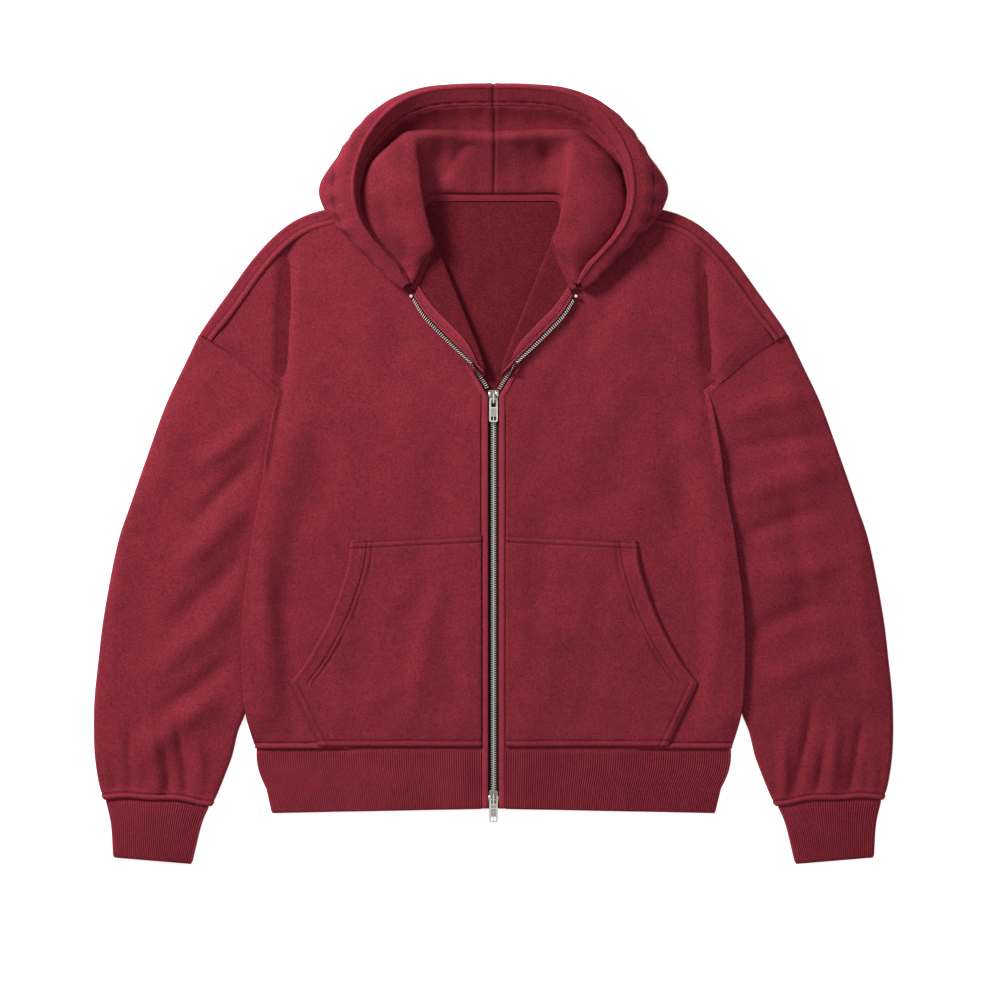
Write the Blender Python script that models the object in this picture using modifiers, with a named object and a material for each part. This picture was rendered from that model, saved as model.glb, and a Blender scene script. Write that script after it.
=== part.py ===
"""Full-zip fleece hoodie, laid flat on its back: every cut piece is its own thin closed solid.

Lengths in the tables are millimetres; MM turns them into Blender's metres.
+X is the wearer's left, +Y runs from the hem to the hood, +Z is up from the surface.
Tables give the +X half; the other half is its mirror image.
"""
import math

import bmesh
import bpy
import numpy as np

MM = 0.001
COLLECTION = "zip_up_hoodie"

# cloth and seams
CLOTH = 2.6            # brushed fleece
RIB = 2.6              # ribbed hem and cuffs
HOOD_CLOTH = 2.4       # each of the hood's two layers
POCKET_CLOTH = 2.2
TAPE = 0.8             # zip tape
TRIM = 1.0             # neck tape and facing
SEAM_GAP = 0.4         # left between pieces that are sewn together
PLY = CLOTH + SEAM_GAP

# levels of the middle of each layer
BACK_Z = CLOTH / 2
SIDE_LIFT = 7.0        # the body's edge rides up on the sleeve tucked under it
CENTRE_LIFT = 3.0      # the zip holds the two fronts up
BODY_PUFF = 1.3

# zip
ZIP_TOP_Y = 88.0       # where the closed chain ends under the top slider
ZIP_END_Y = -354.5
CHAIN_HALF = 3.1
CHAIN_Z = (4.6, 7.1)
PLACKET = (6.6, 13.2)  # band beside the chain, as distances from the centre front
FRONT_EDGE = 13.6      # where the front panel starts, as a distance from the centre front
TURN_RADIUS = 1.9      # of the fold along which the front turns out as a lapel

SHOULDER_TURN = 12.0   # the back panel's width on the front, from outline to shoulder seam

HEM_Y = -299.0
HEM_END_Y = -367.0
HEM_SIDE_END = 243.0

# body edge from hem to armpit
SIDE = {"y": (-299, -285, -262, -233, -182, -131, -90, -50, 0, 37, 60, 92),
        "x": (262, 266.5, 272.5, 275.5, 276.5, 273.5, 268, 262, 252, 245.5, 241.5, 236)}
# armhole seam from armpit to shoulder tip
ARMHOLE = {"x": (236, 264.6, 287.7, 307.5, 323), "y": (92, 116.6, 135.3, 148.5, 154)}
# front neckline, from the shoulder seam down to the lapel's fold
NECKLINE = {"x": (100, 84, 77, 71, 66.5), "y": (286, 288, 280, 268, 256)}
# outline of the shoulder, tip to neck, where the back panel turns over to the front
OUTLINE = {"x": (323, 312, 287.7, 264.6, 240, 216, 184, 130, 90, 45, 0),
           "y": (154, 170.5, 204.6, 236.5, 263, 280.5, 291.5, 298, 302, 303, 303)}
# zip edge and fold line of the turned-out lapel, from the slider up
ZIP_EDGE = {"x": (0, 4.6, 8, 16.4, 30.5, 47.3, 64.1, 78.2, 91),
            "y": (88, 94, 100.6, 113.3, 127.3, 142.8, 159.6, 175, 196)}
FOLD = {"x": (0, 3.5, 9.5, 16.4, 22, 33.2, 44.6, 55.7, 65),
        "y": (88, 96, 113, 133, 147, 175, 203, 231, 254)}
# sleeve outer and inner edges, armhole to cuff
SLEEVE_OUTER = {"x": (323.4, 339, 360, 381, 399, 413, 427.4, 434, 438.5, 438.5, 434.5, 429),
                "y": (153.6, 121, 76, 18, -34, -77, -152, -205, -252, -300, -332, -353)}
SLEEVE_INNER = {"x": (239.6, 246.5, 250.6, 250, 250.5, 256, 261.5, 265.5, 270, 274.5, 282.5, 289, 298.7, 310.5),
                "y": (89.5, 60, 30, 5, -50, -100, -150, -200, -240, -262, -282, -309, -334, -360)}
CUFF_SEAM = {"x": (310.5, 325, 348, 381, 404, 429), "y": (-361, -359.5, -354.5, -354, -352, -354)}
CUFF = {"outer_x": (426.5, 420, 417.5), "outer_y": (-355.5, -384, -421),
        "inner_x": (313.5, 323, 333.5), "inner_y": (-362.5, -385, -428)}

# kangaroo pocket: bottom corner, widest corner, hand opening up to the top corner
POCKET_EDGE = {"x": (192, 203, 214, 225, 210.7, 198.6, 182, 171, 162, 158.5),
               "y": (-298, -275, -252, -229, -211, -191.4, -159.5, -131, -101, -72.5)}
POCKET_TOP_Y = -65.0

# hood: one row for each section from the back centre round to the zip's top end
HOOD_ROWS = 14
HOOD = {
    "neck": ((0, 313, 4.4), (27, 313, 4.4), (50, 313, 4.4), (68, 312, 4.6), (77, 308, 5), (79.5, 304, 6.5),
             (80, 298, 11), (78.5, 290, 14), (76, 280, 14), (73, 268, 14), (70, 259, 14), (68.5, 253, 14),
             (77, 235, 14), (88, 212, 14)),
    "rise": ((0, 340, 15), (28, 340, 14), (52, 338, 13), (71, 338, 11), (80, 332, 16), (81, 322, 19),
             (81.5, 309, 21), (79, 296, 22), (77, 283, 22), (73.5, 269, 21), (69, 258, 20), (68, 251, 18),
             (78.5, 234, 16), (88.6, 211.6, 15.2)),
    "fold": ((0, 366, 29), (29, 367, 29), (55, 367, 29), (76, 365, 27), (84, 356, 29), (83, 340, 29),
             (82, 322, 29), (80, 304, 28), (77, 287, 27), (73, 271, 25.5), (69.5, 259, 23), (69.5, 249, 20),
             (80.5, 233, 18), (89.2, 211.2, 16.2)),
    "face": ((0, 374, 31), (30, 375, 31), (57, 376, 31), (81, 375, 31), (91, 368, 31), (99, 351, 31),
             (104, 330, 30), (106, 307, 30), (104, 285, 28.5), (97, 264, 26.5), (88, 249, 24.5), (83, 240, 21.5),
             (87, 229, 18.8), (90, 210.9, 16.6)),
    "edge": ((0, 381, 26), (31, 382, 26), (60, 383, 26), (88, 381, 26), (100, 374, 27), (114, 357, 27),
             (130, 340, 25), (138, 318, 22.5), (136, 292, 21.5), (126, 268, 20.5), (112, 249, 19.5),
             (98, 235, 18.5), (93, 226, 17.8), (91, 210.6, 16.5)),
    "trough": ((0, 389, 13), (33, 389, 13), (64, 388, 13), (95, 384, 13), (109, 378, 13), (124, 361, 13),
               (140, 344, 14), (148, 321, 16), (146, 296, 16), (137, 273, 16), (123, 253, 16), (107, 237, 16),
               (98, 225, 16), (92, 210.2, 16)),
    "lip": ((0, 427, 32), (36, 426.5, 32), (72, 422.5, 32), (101, 411.5, 32), (122, 395, 32), (138.5, 374, 32),
            (149.5, 350.5, 32), (155, 325, 32), (154, 299, 31.5), (147, 277.5, 30), (134.5, 259, 28),
            (119, 242, 25), (106, 227, 22), (95.5, 210.5, 19)),
    "band": ((0, 428.6, 27), (37, 428, 27), (75, 424.5, 27), (106, 414.5, 27), (130, 399, 28), (150, 378, 29),
             (163, 355, 29), (172, 327, 28), (169.5, 298, 27), (161, 273, 25.5), (147, 253.5, 23.5),
             (128.5, 234.5, 21), (114, 218, 18.5), (99, 205.5, 16.5)),
    "bulge": ((0, 427, 13), (36, 426, 13), (73, 422, 13), (106, 411, 13), (132, 395, 14), (154, 371, 15),
              (171, 347, 15), (190, 319, 14), (187, 296, 15.5), (171, 274, 15.5), (151, 254.5, 15.5),
              (130, 234, 15), (113.5, 217, 14.5), (98, 205, 13.8)),
    "under": ((0, 415, 1.3), (35, 414, 1.3), (70, 410, 1.3), (99, 399, 1.3), (120, 383, 1.3), (138, 361, 1.3),
              (154, 339, 2), (170, 314, 8), (166, 291, 11.2), (154, 270, 11.2), (139, 253, 11.2),
              (121, 234, 11.2), (107, 217.5, 11.2), (95, 206.5, 11.2)),
    "collar": ((0, 303.6, 1.3), (27, 303.6, 1.3), (50, 303.8, 1.3), (70, 304.5, 1.3), (80, 305, 2.6),
               (84, 303, 5.5), (85, 298, 9.8), (82.5, 290, 11.2), (80, 280, 11.2), (77, 268, 11.2),
               (74.5, 261, 11.2), (72.5, 256.5, 11.2), (80, 238.5, 11.2), (90.5, 215.5, 11.2)),
}
# neck tape, centre back to the zip: its edge on the body and its edge on the hood
NECK_TAPE = {
    "body": ((0, 302, 3.4), (30, 302, 3.4), (55, 302, 3.4), (64, 300.5, 3.6), (67.5, 294, 6.0), (67.5, 285, 7.8),
             (66.5, 271, 8.2), (63.6, 256.5, 11.5), (70.7, 235, 11.5), (78.8, 217, 11.5), (85, 203, 11.5)),
    "hood": ((0, 311.4, 3.4), (30, 311.4, 3.4), (54, 311.2, 3.4), (65.5, 309, 3.6), (74, 299.5, 6.0),
             (75.5, 288, 7.8), (73.5, 272, 8.2), (69, 258.6, 11.8), (77.1, 237.8, 11.9), (85.2, 219.8, 11.9),
             (91.4, 205.8, 11.9)),
}
HOOD_HEM = 20.0        # turned-in edge of the hood

# metal: slider and pull
SLIDER = {"length": 13.0, "wide": 12.0, "narrow": 9.6, "lower_z": (2.95, 4.25), "upper_z": (7.45, 8.85)}
BRIDGE = {"half_x": 1.6, "length": 9.0, "top_z": 13.2, "bar": 1.3}
PULL = {"width": 9.6, "length": 26.0, "thick": 1.5, "window": (5.2, 8.0), "bar": 1.5, "hole": 2.2}
PULL_Z = 10.3
TOP_SLIDER_Y = 93.5    # upper end of the top slider
LOW_SLIDER_Y = -347.0  # upper end of the bottom slider

COLOURS = {
    "fleece": ((0.27, 0.025, 0.043), 0.9, 0.0),
    "rib": ((0.22, 0.021, 0.036), 0.9, 0.0),
    "trim": ((0.32, 0.035, 0.055), 0.85, 0.0),
    "metal": ((0.62, 0.60, 0.57), 0.3, 1.0),
}


def material(name):
    """The Principled material of one kind of cloth or metal."""
    found = bpy.data.materials.get(name)
    if found:
        return found
    colour, roughness, metallic = COLOURS[name]
    made = bpy.data.materials.new(name)
    made.use_nodes = True
    shader = made.node_tree.nodes["Principled BSDF"]
    shader.inputs["Base Color"].default_value = (*colour, 1)
    shader.inputs["Roughness"].default_value = roughness
    shader.inputs["Metallic"].default_value = metallic
    return made


def smooth(low, high, value):
    """0 below low, 1 above high and an S-curve between."""
    step = np.clip((np.asarray(value, float) - low) / (high - low), 0, 1)
    return step * step * (3 - 2 * step)


def spline(points, per_span=12):
    """A dense Catmull-Rom curve through the points."""
    points = np.asarray(points, float)
    ends = np.vstack([2 * points[0] - points[1], points, 2 * points[-1] - points[-2]])
    dense = []
    for i in range(1, len(ends) - 2):
        before, start, end, after = ends[i - 1:i + 3]
        for step in np.arange(per_span) / per_span:
            dense.append(0.5 * (2 * start + (end - before) * step
                                + (2 * before - 5 * start + 4 * end - after) * step ** 2
                                + (3 * start - before - 3 * end + after) * step ** 3))
    return np.array(dense + [points[-1]])


def at(points, fractions):
    """Points on the curve through the points, at fractions of its length."""
    dense = spline(points)
    run = np.concatenate([[0], np.cumsum(np.linalg.norm(np.diff(dense, axis=0), axis=1))])
    wanted = np.asarray(fractions) * run[-1]
    return np.stack([np.interp(wanted, run, dense[:, axis]) for axis in range(dense.shape[1])], axis=1)


def table(rows, *columns):
    return np.stack([rows[column] for column in columns], axis=1).astype(float)


def patch(bottom, top, inner, outer, across, up):
    """Grid of points filling four edges; bottom and top run from inner to outer.

    across and up say how far each column and row is from the first edge to the opposite one.
    """
    grid = []
    for row, share in enumerate(up):
        mix = (1 - share) * bottom + share * top
        ends = (1 - across)[:, None] * (inner[row] - mix[0]) + across[:, None] * (outer[row] - mix[-1])
        grid.append(mix + ends)
    return np.array(grid)


def side_x(y):
    return np.interp(y, SIDE["y"], SIDE["x"])


def back_height(x, y):
    """Middle of the back panel: flat, but riding up over the tucked sleeve at the sides."""
    along = smooth(-299, -262, y) * (1 - smooth(22, 84, y))
    across = smooth(-52, -17, x - side_x(np.minimum(y, 92)))
    return BACK_Z + SIDE_LIFT * along * across


def front_height(x, y):
    """Middle of the front panels: on the back, lifted by the zip and by a little air."""
    lift = CENTRE_LIFT * (1 - smooth(10, 80, x)) * (1 - 0.75 * smooth(80, 150, y))
    edge = side_x(np.minimum(y, 92)) + 0.9 * np.maximum(y - 92, 0)
    air = BODY_PUFF * smooth(0, 14, edge - x)
    return back_height(x, y) + PLY + lift + air


def lapel_frame(fraction):
    """Fold point, outward direction, width and turn of the lapel at a fraction of its length."""
    fold = at(table(FOLD, "x", "y"), [fraction])[0]
    edge = at(table(ZIP_EDGE, "x", "y"), [fraction ** 0.75])[0]
    share = float(smooth(0.02, 0.2, fraction))
    reach = np.linalg.norm(edge - fold)
    out = np.array([1.0 - share, 0.0]) + share * (edge - fold) / max(reach, 1e-6)
    return edge + (fold - edge) * share, out / np.linalg.norm(out), reach * share, math.pi * share


def on_front(row, distance, rise=0.0):
    """Point on the front, at a distance along the cloth from the centre front.

    row is a height below the slider, or a fraction of the lapel's length above it.
    rise moves the point off the cloth, towards the garment's inside face.
    """
    if row[0] == "straight":
        return np.array([distance, row[1], front_height(distance, row[1]) - rise])
    fold, out, width, turn = lapel_frame(row[1])
    past = width + turn * TURN_RADIUS - distance
    if past <= 0:
        flat = fold - out * past
        return np.array([flat[0], flat[1], front_height(flat[0], flat[1]) - rise])
    angle = min(past / TURN_RADIUS, turn)
    radius = TURN_RADIUS + rise
    straight = past - angle * TURN_RADIUS
    sideways = radius * math.sin(angle) + straight * math.cos(angle)
    height = TURN_RADIUS - radius * math.cos(angle) + straight * math.sin(angle)
    flat = fold - out * sideways
    return np.array([flat[0], flat[1], front_height(fold[0], fold[1]) + height])


STRAIGHT_ROWS = [("straight", y) for y in (HEM_Y, -281.0, -262.0, -229.0, -165.0, -100.0, -30.0, 35.0, 70.0)]
LAPEL_ROWS = [("lapel", value) for value in (0.0, 0.06, 0.09, 0.12, 0.15, 0.18, 0.21, 0.34, 0.5, 0.66, 0.83, 1.0)]
# columns from the centre to the side, close together where the body rides up on the sleeve
BACK_COLUMNS = (0, 0.16, 0.32, 0.48, 0.64, 0.80, 0.87, 0.935, 1)
FRONT_COLUMNS = (0, 0.2, 0.4, 0.6, 0.783, 0.858, 0.929, 1)
LAPEL_STOPS = (4.2, 6.3, 9.0, 11.2, 13.5)   # distances from the zip edge, on the lapel


def mesh_object(name, vertices, faces, kind):
    mesh = bpy.data.meshes.new(name)
    mesh.from_pydata([tuple(vertex) for vertex in np.asarray(vertices) * MM], [], faces)
    mesh.materials.append(material(kind))
    made = bpy.data.objects.new(name, mesh)
    bpy.data.collections[COLLECTION].objects.link(made)
    return made


def cloth(name, grid, thickness, kind, closed=False, mirrored=False, flip=False):
    """A sheet of cloth from a grid of points on its middle, given its thickness by Solidify."""
    grid = np.asarray(grid, float)
    rows, columns = grid.shape[:2]
    faces = []
    for row in range(rows - 1):
        for column in range(columns if closed else columns - 1):
            after = (column + 1) % columns
            face = (row * columns + column, row * columns + after,
                    (row + 1) * columns + after, (row + 1) * columns + column)
            faces.append(face[::-1] if flip else face)
    made = mesh_object(name, grid.reshape(-1, 3), faces, kind)
    if mirrored:
        mirror = made.modifiers.new("Mirror", "MIRROR")
        mirror.use_mirror_merge = True
        mirror.merge_threshold = 0.0001
    shell = made.modifiers.new("Solidify", "SOLIDIFY")
    shell.thickness = thickness * MM
    shell.offset = 0
    shell.use_even_offset = closed
    return made


def mirror_points(grid):
    return np.asarray(grid, float) * np.array([-1.0, 1.0, 1.0])


def pair(name, grid, thickness, kind, **options):
    """The same piece on both sides; left is the wearer's left, at +X."""
    cloth(name + "_left", grid, thickness, kind, **options)
    cloth(name + "_right", mirror_points(grid), thickness, kind, flip=True, **options)


def shoulder_seam():
    """Front shoulder seam, tip to neck: the outline moved in by the width that the back turns over."""
    outline = at(table(OUTLINE, "x", "y"), np.linspace(0, 0.56, 9))[1:]
    direction = np.gradient(outline, axis=0)
    inward = np.stack([-direction[:, 1], direction[:, 0]], axis=1)
    inward /= np.linalg.norm(inward, axis=1)[:, None]
    return outline + inward * (SHOULDER_TURN + 3.6)


def build_back():
    """Back panel, whose upper edge turns over the shoulders to the front."""
    rows = [row[1] for row in STRAIGHT_ROWS]
    columns = np.array(BACK_COLUMNS)
    lower = np.array([[side_x(y) - 0.2, y] for y in rows])
    armhole = at(table(ARMHOLE, "x", "y"), np.linspace(0, 1, 6)) - [0.4, -0.2]
    outer = np.vstack([lower, armhole])
    heights = np.concatenate([rows, np.linspace(95, 303, 6)])
    inner = np.stack([np.zeros(len(outer)), heights], axis=1)
    bottom = np.stack([columns * lower[0][0], np.full(len(columns), HEM_Y)], axis=1)
    top = at(table(OUTLINE, "x", "y"), 1 - columns)
    top[-1] = outer[-1]
    flat = patch(bottom, top, inner, outer, columns, (heights - heights[0]) / (heights[-1] - heights[0]))
    grid = np.concatenate([flat, back_height(flat[..., 0], flat[..., 1])[..., None]], axis=2)
    radius = 1.7
    wrap = []
    direction = np.gradient(top, axis=0)
    outward = np.stack([-direction[:, 1], direction[:, 0]], axis=1)
    outward /= np.linalg.norm(outward, axis=1)[:, None]
    turn = math.pi * smooth(88, 125, top[:, 0])
    tip = smooth(300, 322, top[:, 0])
    start = grid[-1].copy()
    start[:, :2] -= outward * radius * 1.02
    grid[-1] = start
    for step in (0.33, 0.67, 1.0):
        angle = turn * step
        length = 1.6 * step
        bent = radius * np.sin(angle) + np.where(turn < 0.1, length, 0)
        height = radius * (1 - np.cos(angle))
        ring = start.copy()
        ring[:, :2] += outward * bent[:, None]
        ring[:, 2] += height
        wrap.append(ring)
    seam = start.copy()
    seam_width = SHOULDER_TURN * (1 - tip) + 1.0
    reach = np.where(turn > 3, -seam_width, np.where(turn < 0.1, 1.8, -2.0))
    seam[:, :2] += outward * reach[:, None]
    seam[:, 2] += radius * (1 - np.cos(turn))
    wrap.append(seam)
    cloth("back", np.vstack([grid, np.array(wrap)]), CLOTH, "fleece", mirrored=True)


def front_grid():
    """Front panel from the side and shoulder to the zip, with the lapel turned out at the top."""
    rows = STRAIGHT_ROWS + LAPEL_ROWS
    turned = []
    starts = []
    for row in rows:
        width, stops = 0.0, list(np.linspace(FRONT_EDGE, FRONT_EDGE + 4.0, len(LAPEL_STOPS)))
        if row[0] == "lapel" and row[1] > 0:
            fold, out, width, turn = lapel_frame(row[1])
            width += turn * TURN_RADIUS
            stops = list(LAPEL_STOPS)
        roll = max(width + 1.0, FRONT_EDGE + 9.0)
        after_roll = max(width - math.pi * TURN_RADIUS, stops[-1] + 1.5)
        stops += [after_roll, after_roll + (roll - after_roll) * 0.33, after_roll + (roll - after_roll) * 0.67]
        turned.append([on_front(row, stop) for stop in stops])
        starts.append(on_front(row, roll))
    turned, starts = np.array(turned), np.array(starts)
    inner = starts[:, :2]
    lower = np.array([[side_x(row[1]), row[1]] for row in STRAIGHT_ROWS])
    armhole = at(table(ARMHOLE, "x", "y")[:4], np.linspace(0, 1, len(LAPEL_ROWS))) - [0.4, -0.2]
    outer = np.vstack([lower, armhole])
    across = np.array(FRONT_COLUMNS)
    bottom = inner[0] + across[:, None] * (outer[0] - inner[0])
    seam = shoulder_seam()
    top = at(np.vstack([seam, table(NECKLINE, "x", "y")]), 1 - across ** 0.9)
    top[0], top[-1] = inner[-1], outer[-1]
    climb = np.concatenate([np.linspace(0, 0.12, len(STRAIGHT_ROWS)),
                            np.linspace(0.12, 1, len(LAPEL_ROWS) + 1)[1:]])
    flat = patch(bottom, top, inner, outer, across, climb)
    body = np.concatenate([flat, front_height(flat[..., 0], flat[..., 1])[..., None]], axis=2)
    return np.concatenate([turned, body], axis=1)


def strip(rows, stops, rise):
    """A band that follows the zip edge, through distances from the centre front.

    Where the front is half turned its rows lie askew, so the band is narrow and stands further off it.
    """
    grid = []
    for row in rows:
        share = float(smooth(0.02, 0.2, row[1])) if row[0] == "lapel" else 0.0
        half_turned = row[0] == "lapel" and 0 < row[1] < 0.3
        places = np.linspace(stops[0], min(stops[-1], 5.2), len(stops)) if half_turned else stops
        grid.append([on_front(row, place, rise * (1 + 3.2 * share * (1 - share))) for place in places])
    return np.array(grid)


def build_zip_edges():
    """Placket bands, zip tapes, inner facings, and the rows of teeth where the zip is open."""
    below = [("straight", y) for y in (HEM_END_Y + 0.5, HEM_Y, 70.0)]
    above = LAPEL_ROWS[:-1] + [("lapel", 0.965)]
    tape_rise = CLOTH / 2 + TAPE / 2 + 0.4
    pair("placket", strip(below[:2] + [("straight", 86.5)], PLACKET, 0.0), CLOTH, "fleece")
    pair("zip_tape", strip(below + above, (CHAIN_HALF + 0.5,) + LAPEL_STOPS[1:], tape_rise), TAPE, "trim")
    pair("facing", strip(above[7:], (4.5, 9.0, 16.0), tape_rise + TAPE / 2 + TRIM / 2 + 0.35), TRIM, "trim")
    pair("zip_teeth", strip(above[1:-1] + [("lapel", 0.95)], (-0.8, 1.0, CHAIN_HALF - 0.4), tape_rise), 2.4, "metal")
    for side, name in ((1, "top_stop_left"), (-1, "top_stop_right")):
        x, y, z = on_front(("lapel", 1.0), 0.8, tape_rise)
        half, thick = 1.9, 1.5
        solid_box(name, (side * x - half, y - half, z - thick), (side * x + half, y + half, z + thick), "metal", 0.5)


def ring(inner_point, outer_point, low, high, count):
    """A flattened loop between two edge points; low and high are the heights of its two walls."""
    loop = []
    middle, half = (low + high) / 2, (high - low) / 2
    for index in range(count):
        angle = 2 * math.pi * index / count
        share = (1 - math.copysign(abs(math.cos(angle)) ** 0.75, math.cos(angle))) / 2
        plan = inner_point + share * (outer_point - inner_point)
        rise = math.copysign(abs(math.sin(angle)) ** 0.32, math.sin(angle)) if abs(math.sin(angle)) > 1e-9 else 0
        loop.append([plan[0], plan[1], middle + half * rise])
    return loop


def sleeve_grid():
    """Sleeve tube: rings from the armhole to the cuff, pressed flat where the body lies on it."""
    fractions = np.linspace(0, 1, 13)
    outer = at(table(SLEEVE_OUTER, "x", "y"), fractions)
    inner = at(table(SLEEVE_INNER, "x", "y"), fractions)
    armhole = at(table(ARMHOLE, "x", "y"), np.linspace(0, 1, 25))
    cuff = at(table(CUFF_SEAM, "x", "y"), np.linspace(0, 1, 25))
    rings = []
    count = 18
    for index, fraction in enumerate(fractions):
        chord = np.linspace(0, 1, 25)[:, None]
        straight = inner[index] + chord * (outer[index] - inner[index])
        top_bow = armhole - (armhole[0] + chord * (armhole[-1] - armhole[0]))
        low_bow = cuff - (cuff[0] + chord * (cuff[-1] - cuff[0]))
        across = straight + top_bow * (1 - smooth(0, 0.45, fraction)) + low_bow * smooth(0.75, 1, fraction)
        air = 3.9 + 2.4 * smooth(0, 0.2, fraction) * (1 - smooth(0.9, 1, fraction))
        loop = []
        for step in range(count):
            angle = 2 * math.pi * step / count
            share = (1 - math.copysign(abs(math.cos(angle)) ** 0.8, math.cos(angle))) / 2
            plan = [np.interp(share, chord[:, 0], across[:, axis]) for axis in range(2)]
            pressed = smooth(14, 60, share * np.linalg.norm(outer[index] - inner[index]))
            height = (3.7 + (air - 3.7) * pressed) if fraction > 0 else air
            wave = abs(math.sin(angle)) ** 0.3 if abs(math.sin(angle)) > 1e-9 else 0
            side = math.copysign(wave, math.sin(angle))
            loop.append([plan[0], plan[1], BACK_Z + height / 2 * (1 + side)])
        rings.append(loop)
    return np.array(rings)[:, ::-1]


def build_sleeves():
    grid = sleeve_grid()
    push = grid[1] - grid[0]
    grid[0] += 0.5 * push / np.linalg.norm(push, axis=1)[:, None]
    pair("sleeve", grid, CLOTH, "fleece", closed=True)
    rings = []
    for index in range(3):
        outer = np.array([CUFF["outer_x"][index], CUFF["outer_y"][index]])
        inner = np.array([CUFF["inner_x"][index], CUFF["inner_y"][index]])
        loop = np.array(ring(inner, outer, BACK_Z, BACK_Z + 3.6, 18))
        share = np.linalg.norm(loop[:, :2] - inner, axis=1) / np.linalg.norm(outer - inner)
        if index < 2:
            seam = at(table(CUFF_SEAM, "x", "y"), np.linspace(0, 1, 20))
            chord = seam[0] + np.linspace(0, 1, 20)[:, None] * (seam[-1] - seam[0])
            bow = np.interp(share, np.linspace(0, 1, 20), (seam - chord)[:, 1])
            loop[:, 1] += bow * (1 - 0.6 * index)
        rings.append(loop)
    pair("cuff", np.array(rings)[:, ::-1], RIB, "rib", closed=True)


def build_hem():
    """Ribbed hem band: one strip from zip edge to zip edge, round both sides and the back."""
    rows = []
    for share in (0.0, 0.35, 1.0):
        y = HEM_Y - 0.5 + share * (HEM_END_Y - HEM_Y + 0.5)
        side = SIDE["x"][0] - 2.0 + share * (HEM_SIDE_END - SIDE["x"][0] + 2.0)
        slant = -5.0 * share
        top_side = BACK_Z + PLY + 0.6
        points = []
        for x in (FRONT_EDGE, 40, 80, 120, 160, 200, side - 22):
            height = front_height(x, HEM_Y) * (1 - smooth(150, 220, x)) + top_side * smooth(150, 220, x)
            points.append([x, y + slant * x / side, height])
        middle, half = (top_side + BACK_Z) / 2, (top_side - BACK_Z) / 2
        for angle in (90, 45, 0, -45, -90):
            points.append([side - half + half * math.cos(math.radians(angle)), y + slant,
                           middle + half * math.sin(math.radians(angle))])
        for x in (side - 22, 200, 160, 120, 80, 40, 0):
            points.append([x, y + slant * x / side, BACK_Z])
        rows.append(points)
    cloth("hem_rib", np.array(rows), RIB, "rib", mirrored=True)


def pocket_grid():
    """Pocket: laid on the front panel from its own outline, a little off it at the hand opening."""
    outer = table(POCKET_EDGE, "x", "y")
    corner = 3
    fractions = np.concatenate([at(outer[:corner + 1], np.linspace(0, 1, 4)),
                                at(outer[corner:], np.linspace(0, 1, 8))[1:]])
    inner = np.stack([np.full(len(fractions), FRONT_EDGE + 0.2), np.linspace(HEM_Y + 0.8, POCKET_TOP_Y, 11)], axis=1)
    across = np.array(FRONT_COLUMNS)
    bottom = inner[0] + across[:, None] * (fractions[0] - inner[0])
    top = inner[-1] + across[:, None] * (fractions[-1] - inner[-1])
    flat = patch(bottom, top, inner, fractions, across, np.linspace(0, 1, len(inner)))
    height = front_height(flat[..., 0], flat[..., 1]) + CLOTH / 2 + POCKET_CLOTH / 2 + 0.9
    return np.concatenate([flat, height[..., None]], axis=2)


def hood_curves(*columns):
    """Smooth sections through the named columns of the hood table, evened out between rows."""
    return np.array([[HOOD[column][row] for column in columns] for row in range(HOOD_ROWS)], float)


def hood_grid(sections, spans):
    """Each section resampled through its points; spans gives the steps between neighbours."""
    grid = []
    for section in sections:
        dense = spline(section, 12)
        stops = [0.0]
        for index, count in enumerate(spans):
            stops += [index * 12 + 12 * (step + 1) / count for step in range(count)]
        grid.append([dense[int(round(stop))] for stop in stops])
    grid = np.array(grid)
    grid[..., 2] = np.maximum(grid[..., 2], HOOD_CLOTH / 2 + 0.05)
    return grid


def toward(start, end, length):
    reach = end - start
    return start + reach / np.linalg.norm(reach, axis=-1, keepdims=True) * length


def build_hood():
    """Hood halves: an outer layer turned in at its edge, and a lining that ends at the turned hem."""
    outer = hood_curves("collar", "under", "bulge", "band", "lip")
    lining = hood_curves("neck", "rise", "fold", "face", "edge", "trough")
    lip, trough = outer[:, -1], lining[:, -1]
    inward = toward(lip, trough, 1.0) - lip
    inward[:, 2] = 0
    turn = lip + inward / np.linalg.norm(inward, axis=1)[:, None] * (HOOD_CLOTH + 0.9)
    share = np.minimum(HOOD_HEM, 0.55 * np.linalg.norm(trough - turn, axis=1))[:, None]
    hem = toward(turn, trough, share)
    over = (lip + turn) / 2 + [0, 0, 1.2]
    outer_grid = np.concatenate([hood_grid(outer, (2, 2, 2, 2)), over[:, None], turn[:, None], hem[:, None]], axis=1)
    end = toward(hem, trough, 0.6)
    lining_grid = np.concatenate([hood_grid(lining, (2, 2, 2, 2, 2)), end[:, None]], axis=1)
    outer_grid[0, :, 0] = 0.3
    lining_grid[0, :, 0] = 0.3
    pair("hood_outer", outer_grid, HOOD_CLOTH, "fleece")
    pair("hood_lining", lining_grid, HOOD_CLOTH, "fleece", )


def build_neck_tape():
    rows = np.array([NECK_TAPE["body"], NECK_TAPE["hood"]], float).transpose(1, 0, 2)
    cloth("neck_tape", rows, TRIM, "trim", mirrored=True)


def solid_box(name, low, high, kind, bevel=0.0):
    """A box between two corners."""
    mesh = bpy.data.meshes.new(name)
    box = bmesh.new()
    bmesh.ops.create_cube(box, size=1)
    low, high = np.array(low, float), np.array(high, float)
    for vertex in box.verts:
        vertex.co = (low + (np.array(vertex.co) + 0.5) * (high - low)) * MM
    if bevel:
        bmesh.ops.bevel(box, geom=box.edges[:], offset=bevel * MM, segments=1, affect="EDGES")
    box.to_mesh(mesh)
    box.free()
    mesh.materials.append(material(kind))
    made = bpy.data.objects.new(name, mesh)
    bpy.data.collections[COLLECTION].objects.link(made)
    return made


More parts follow.
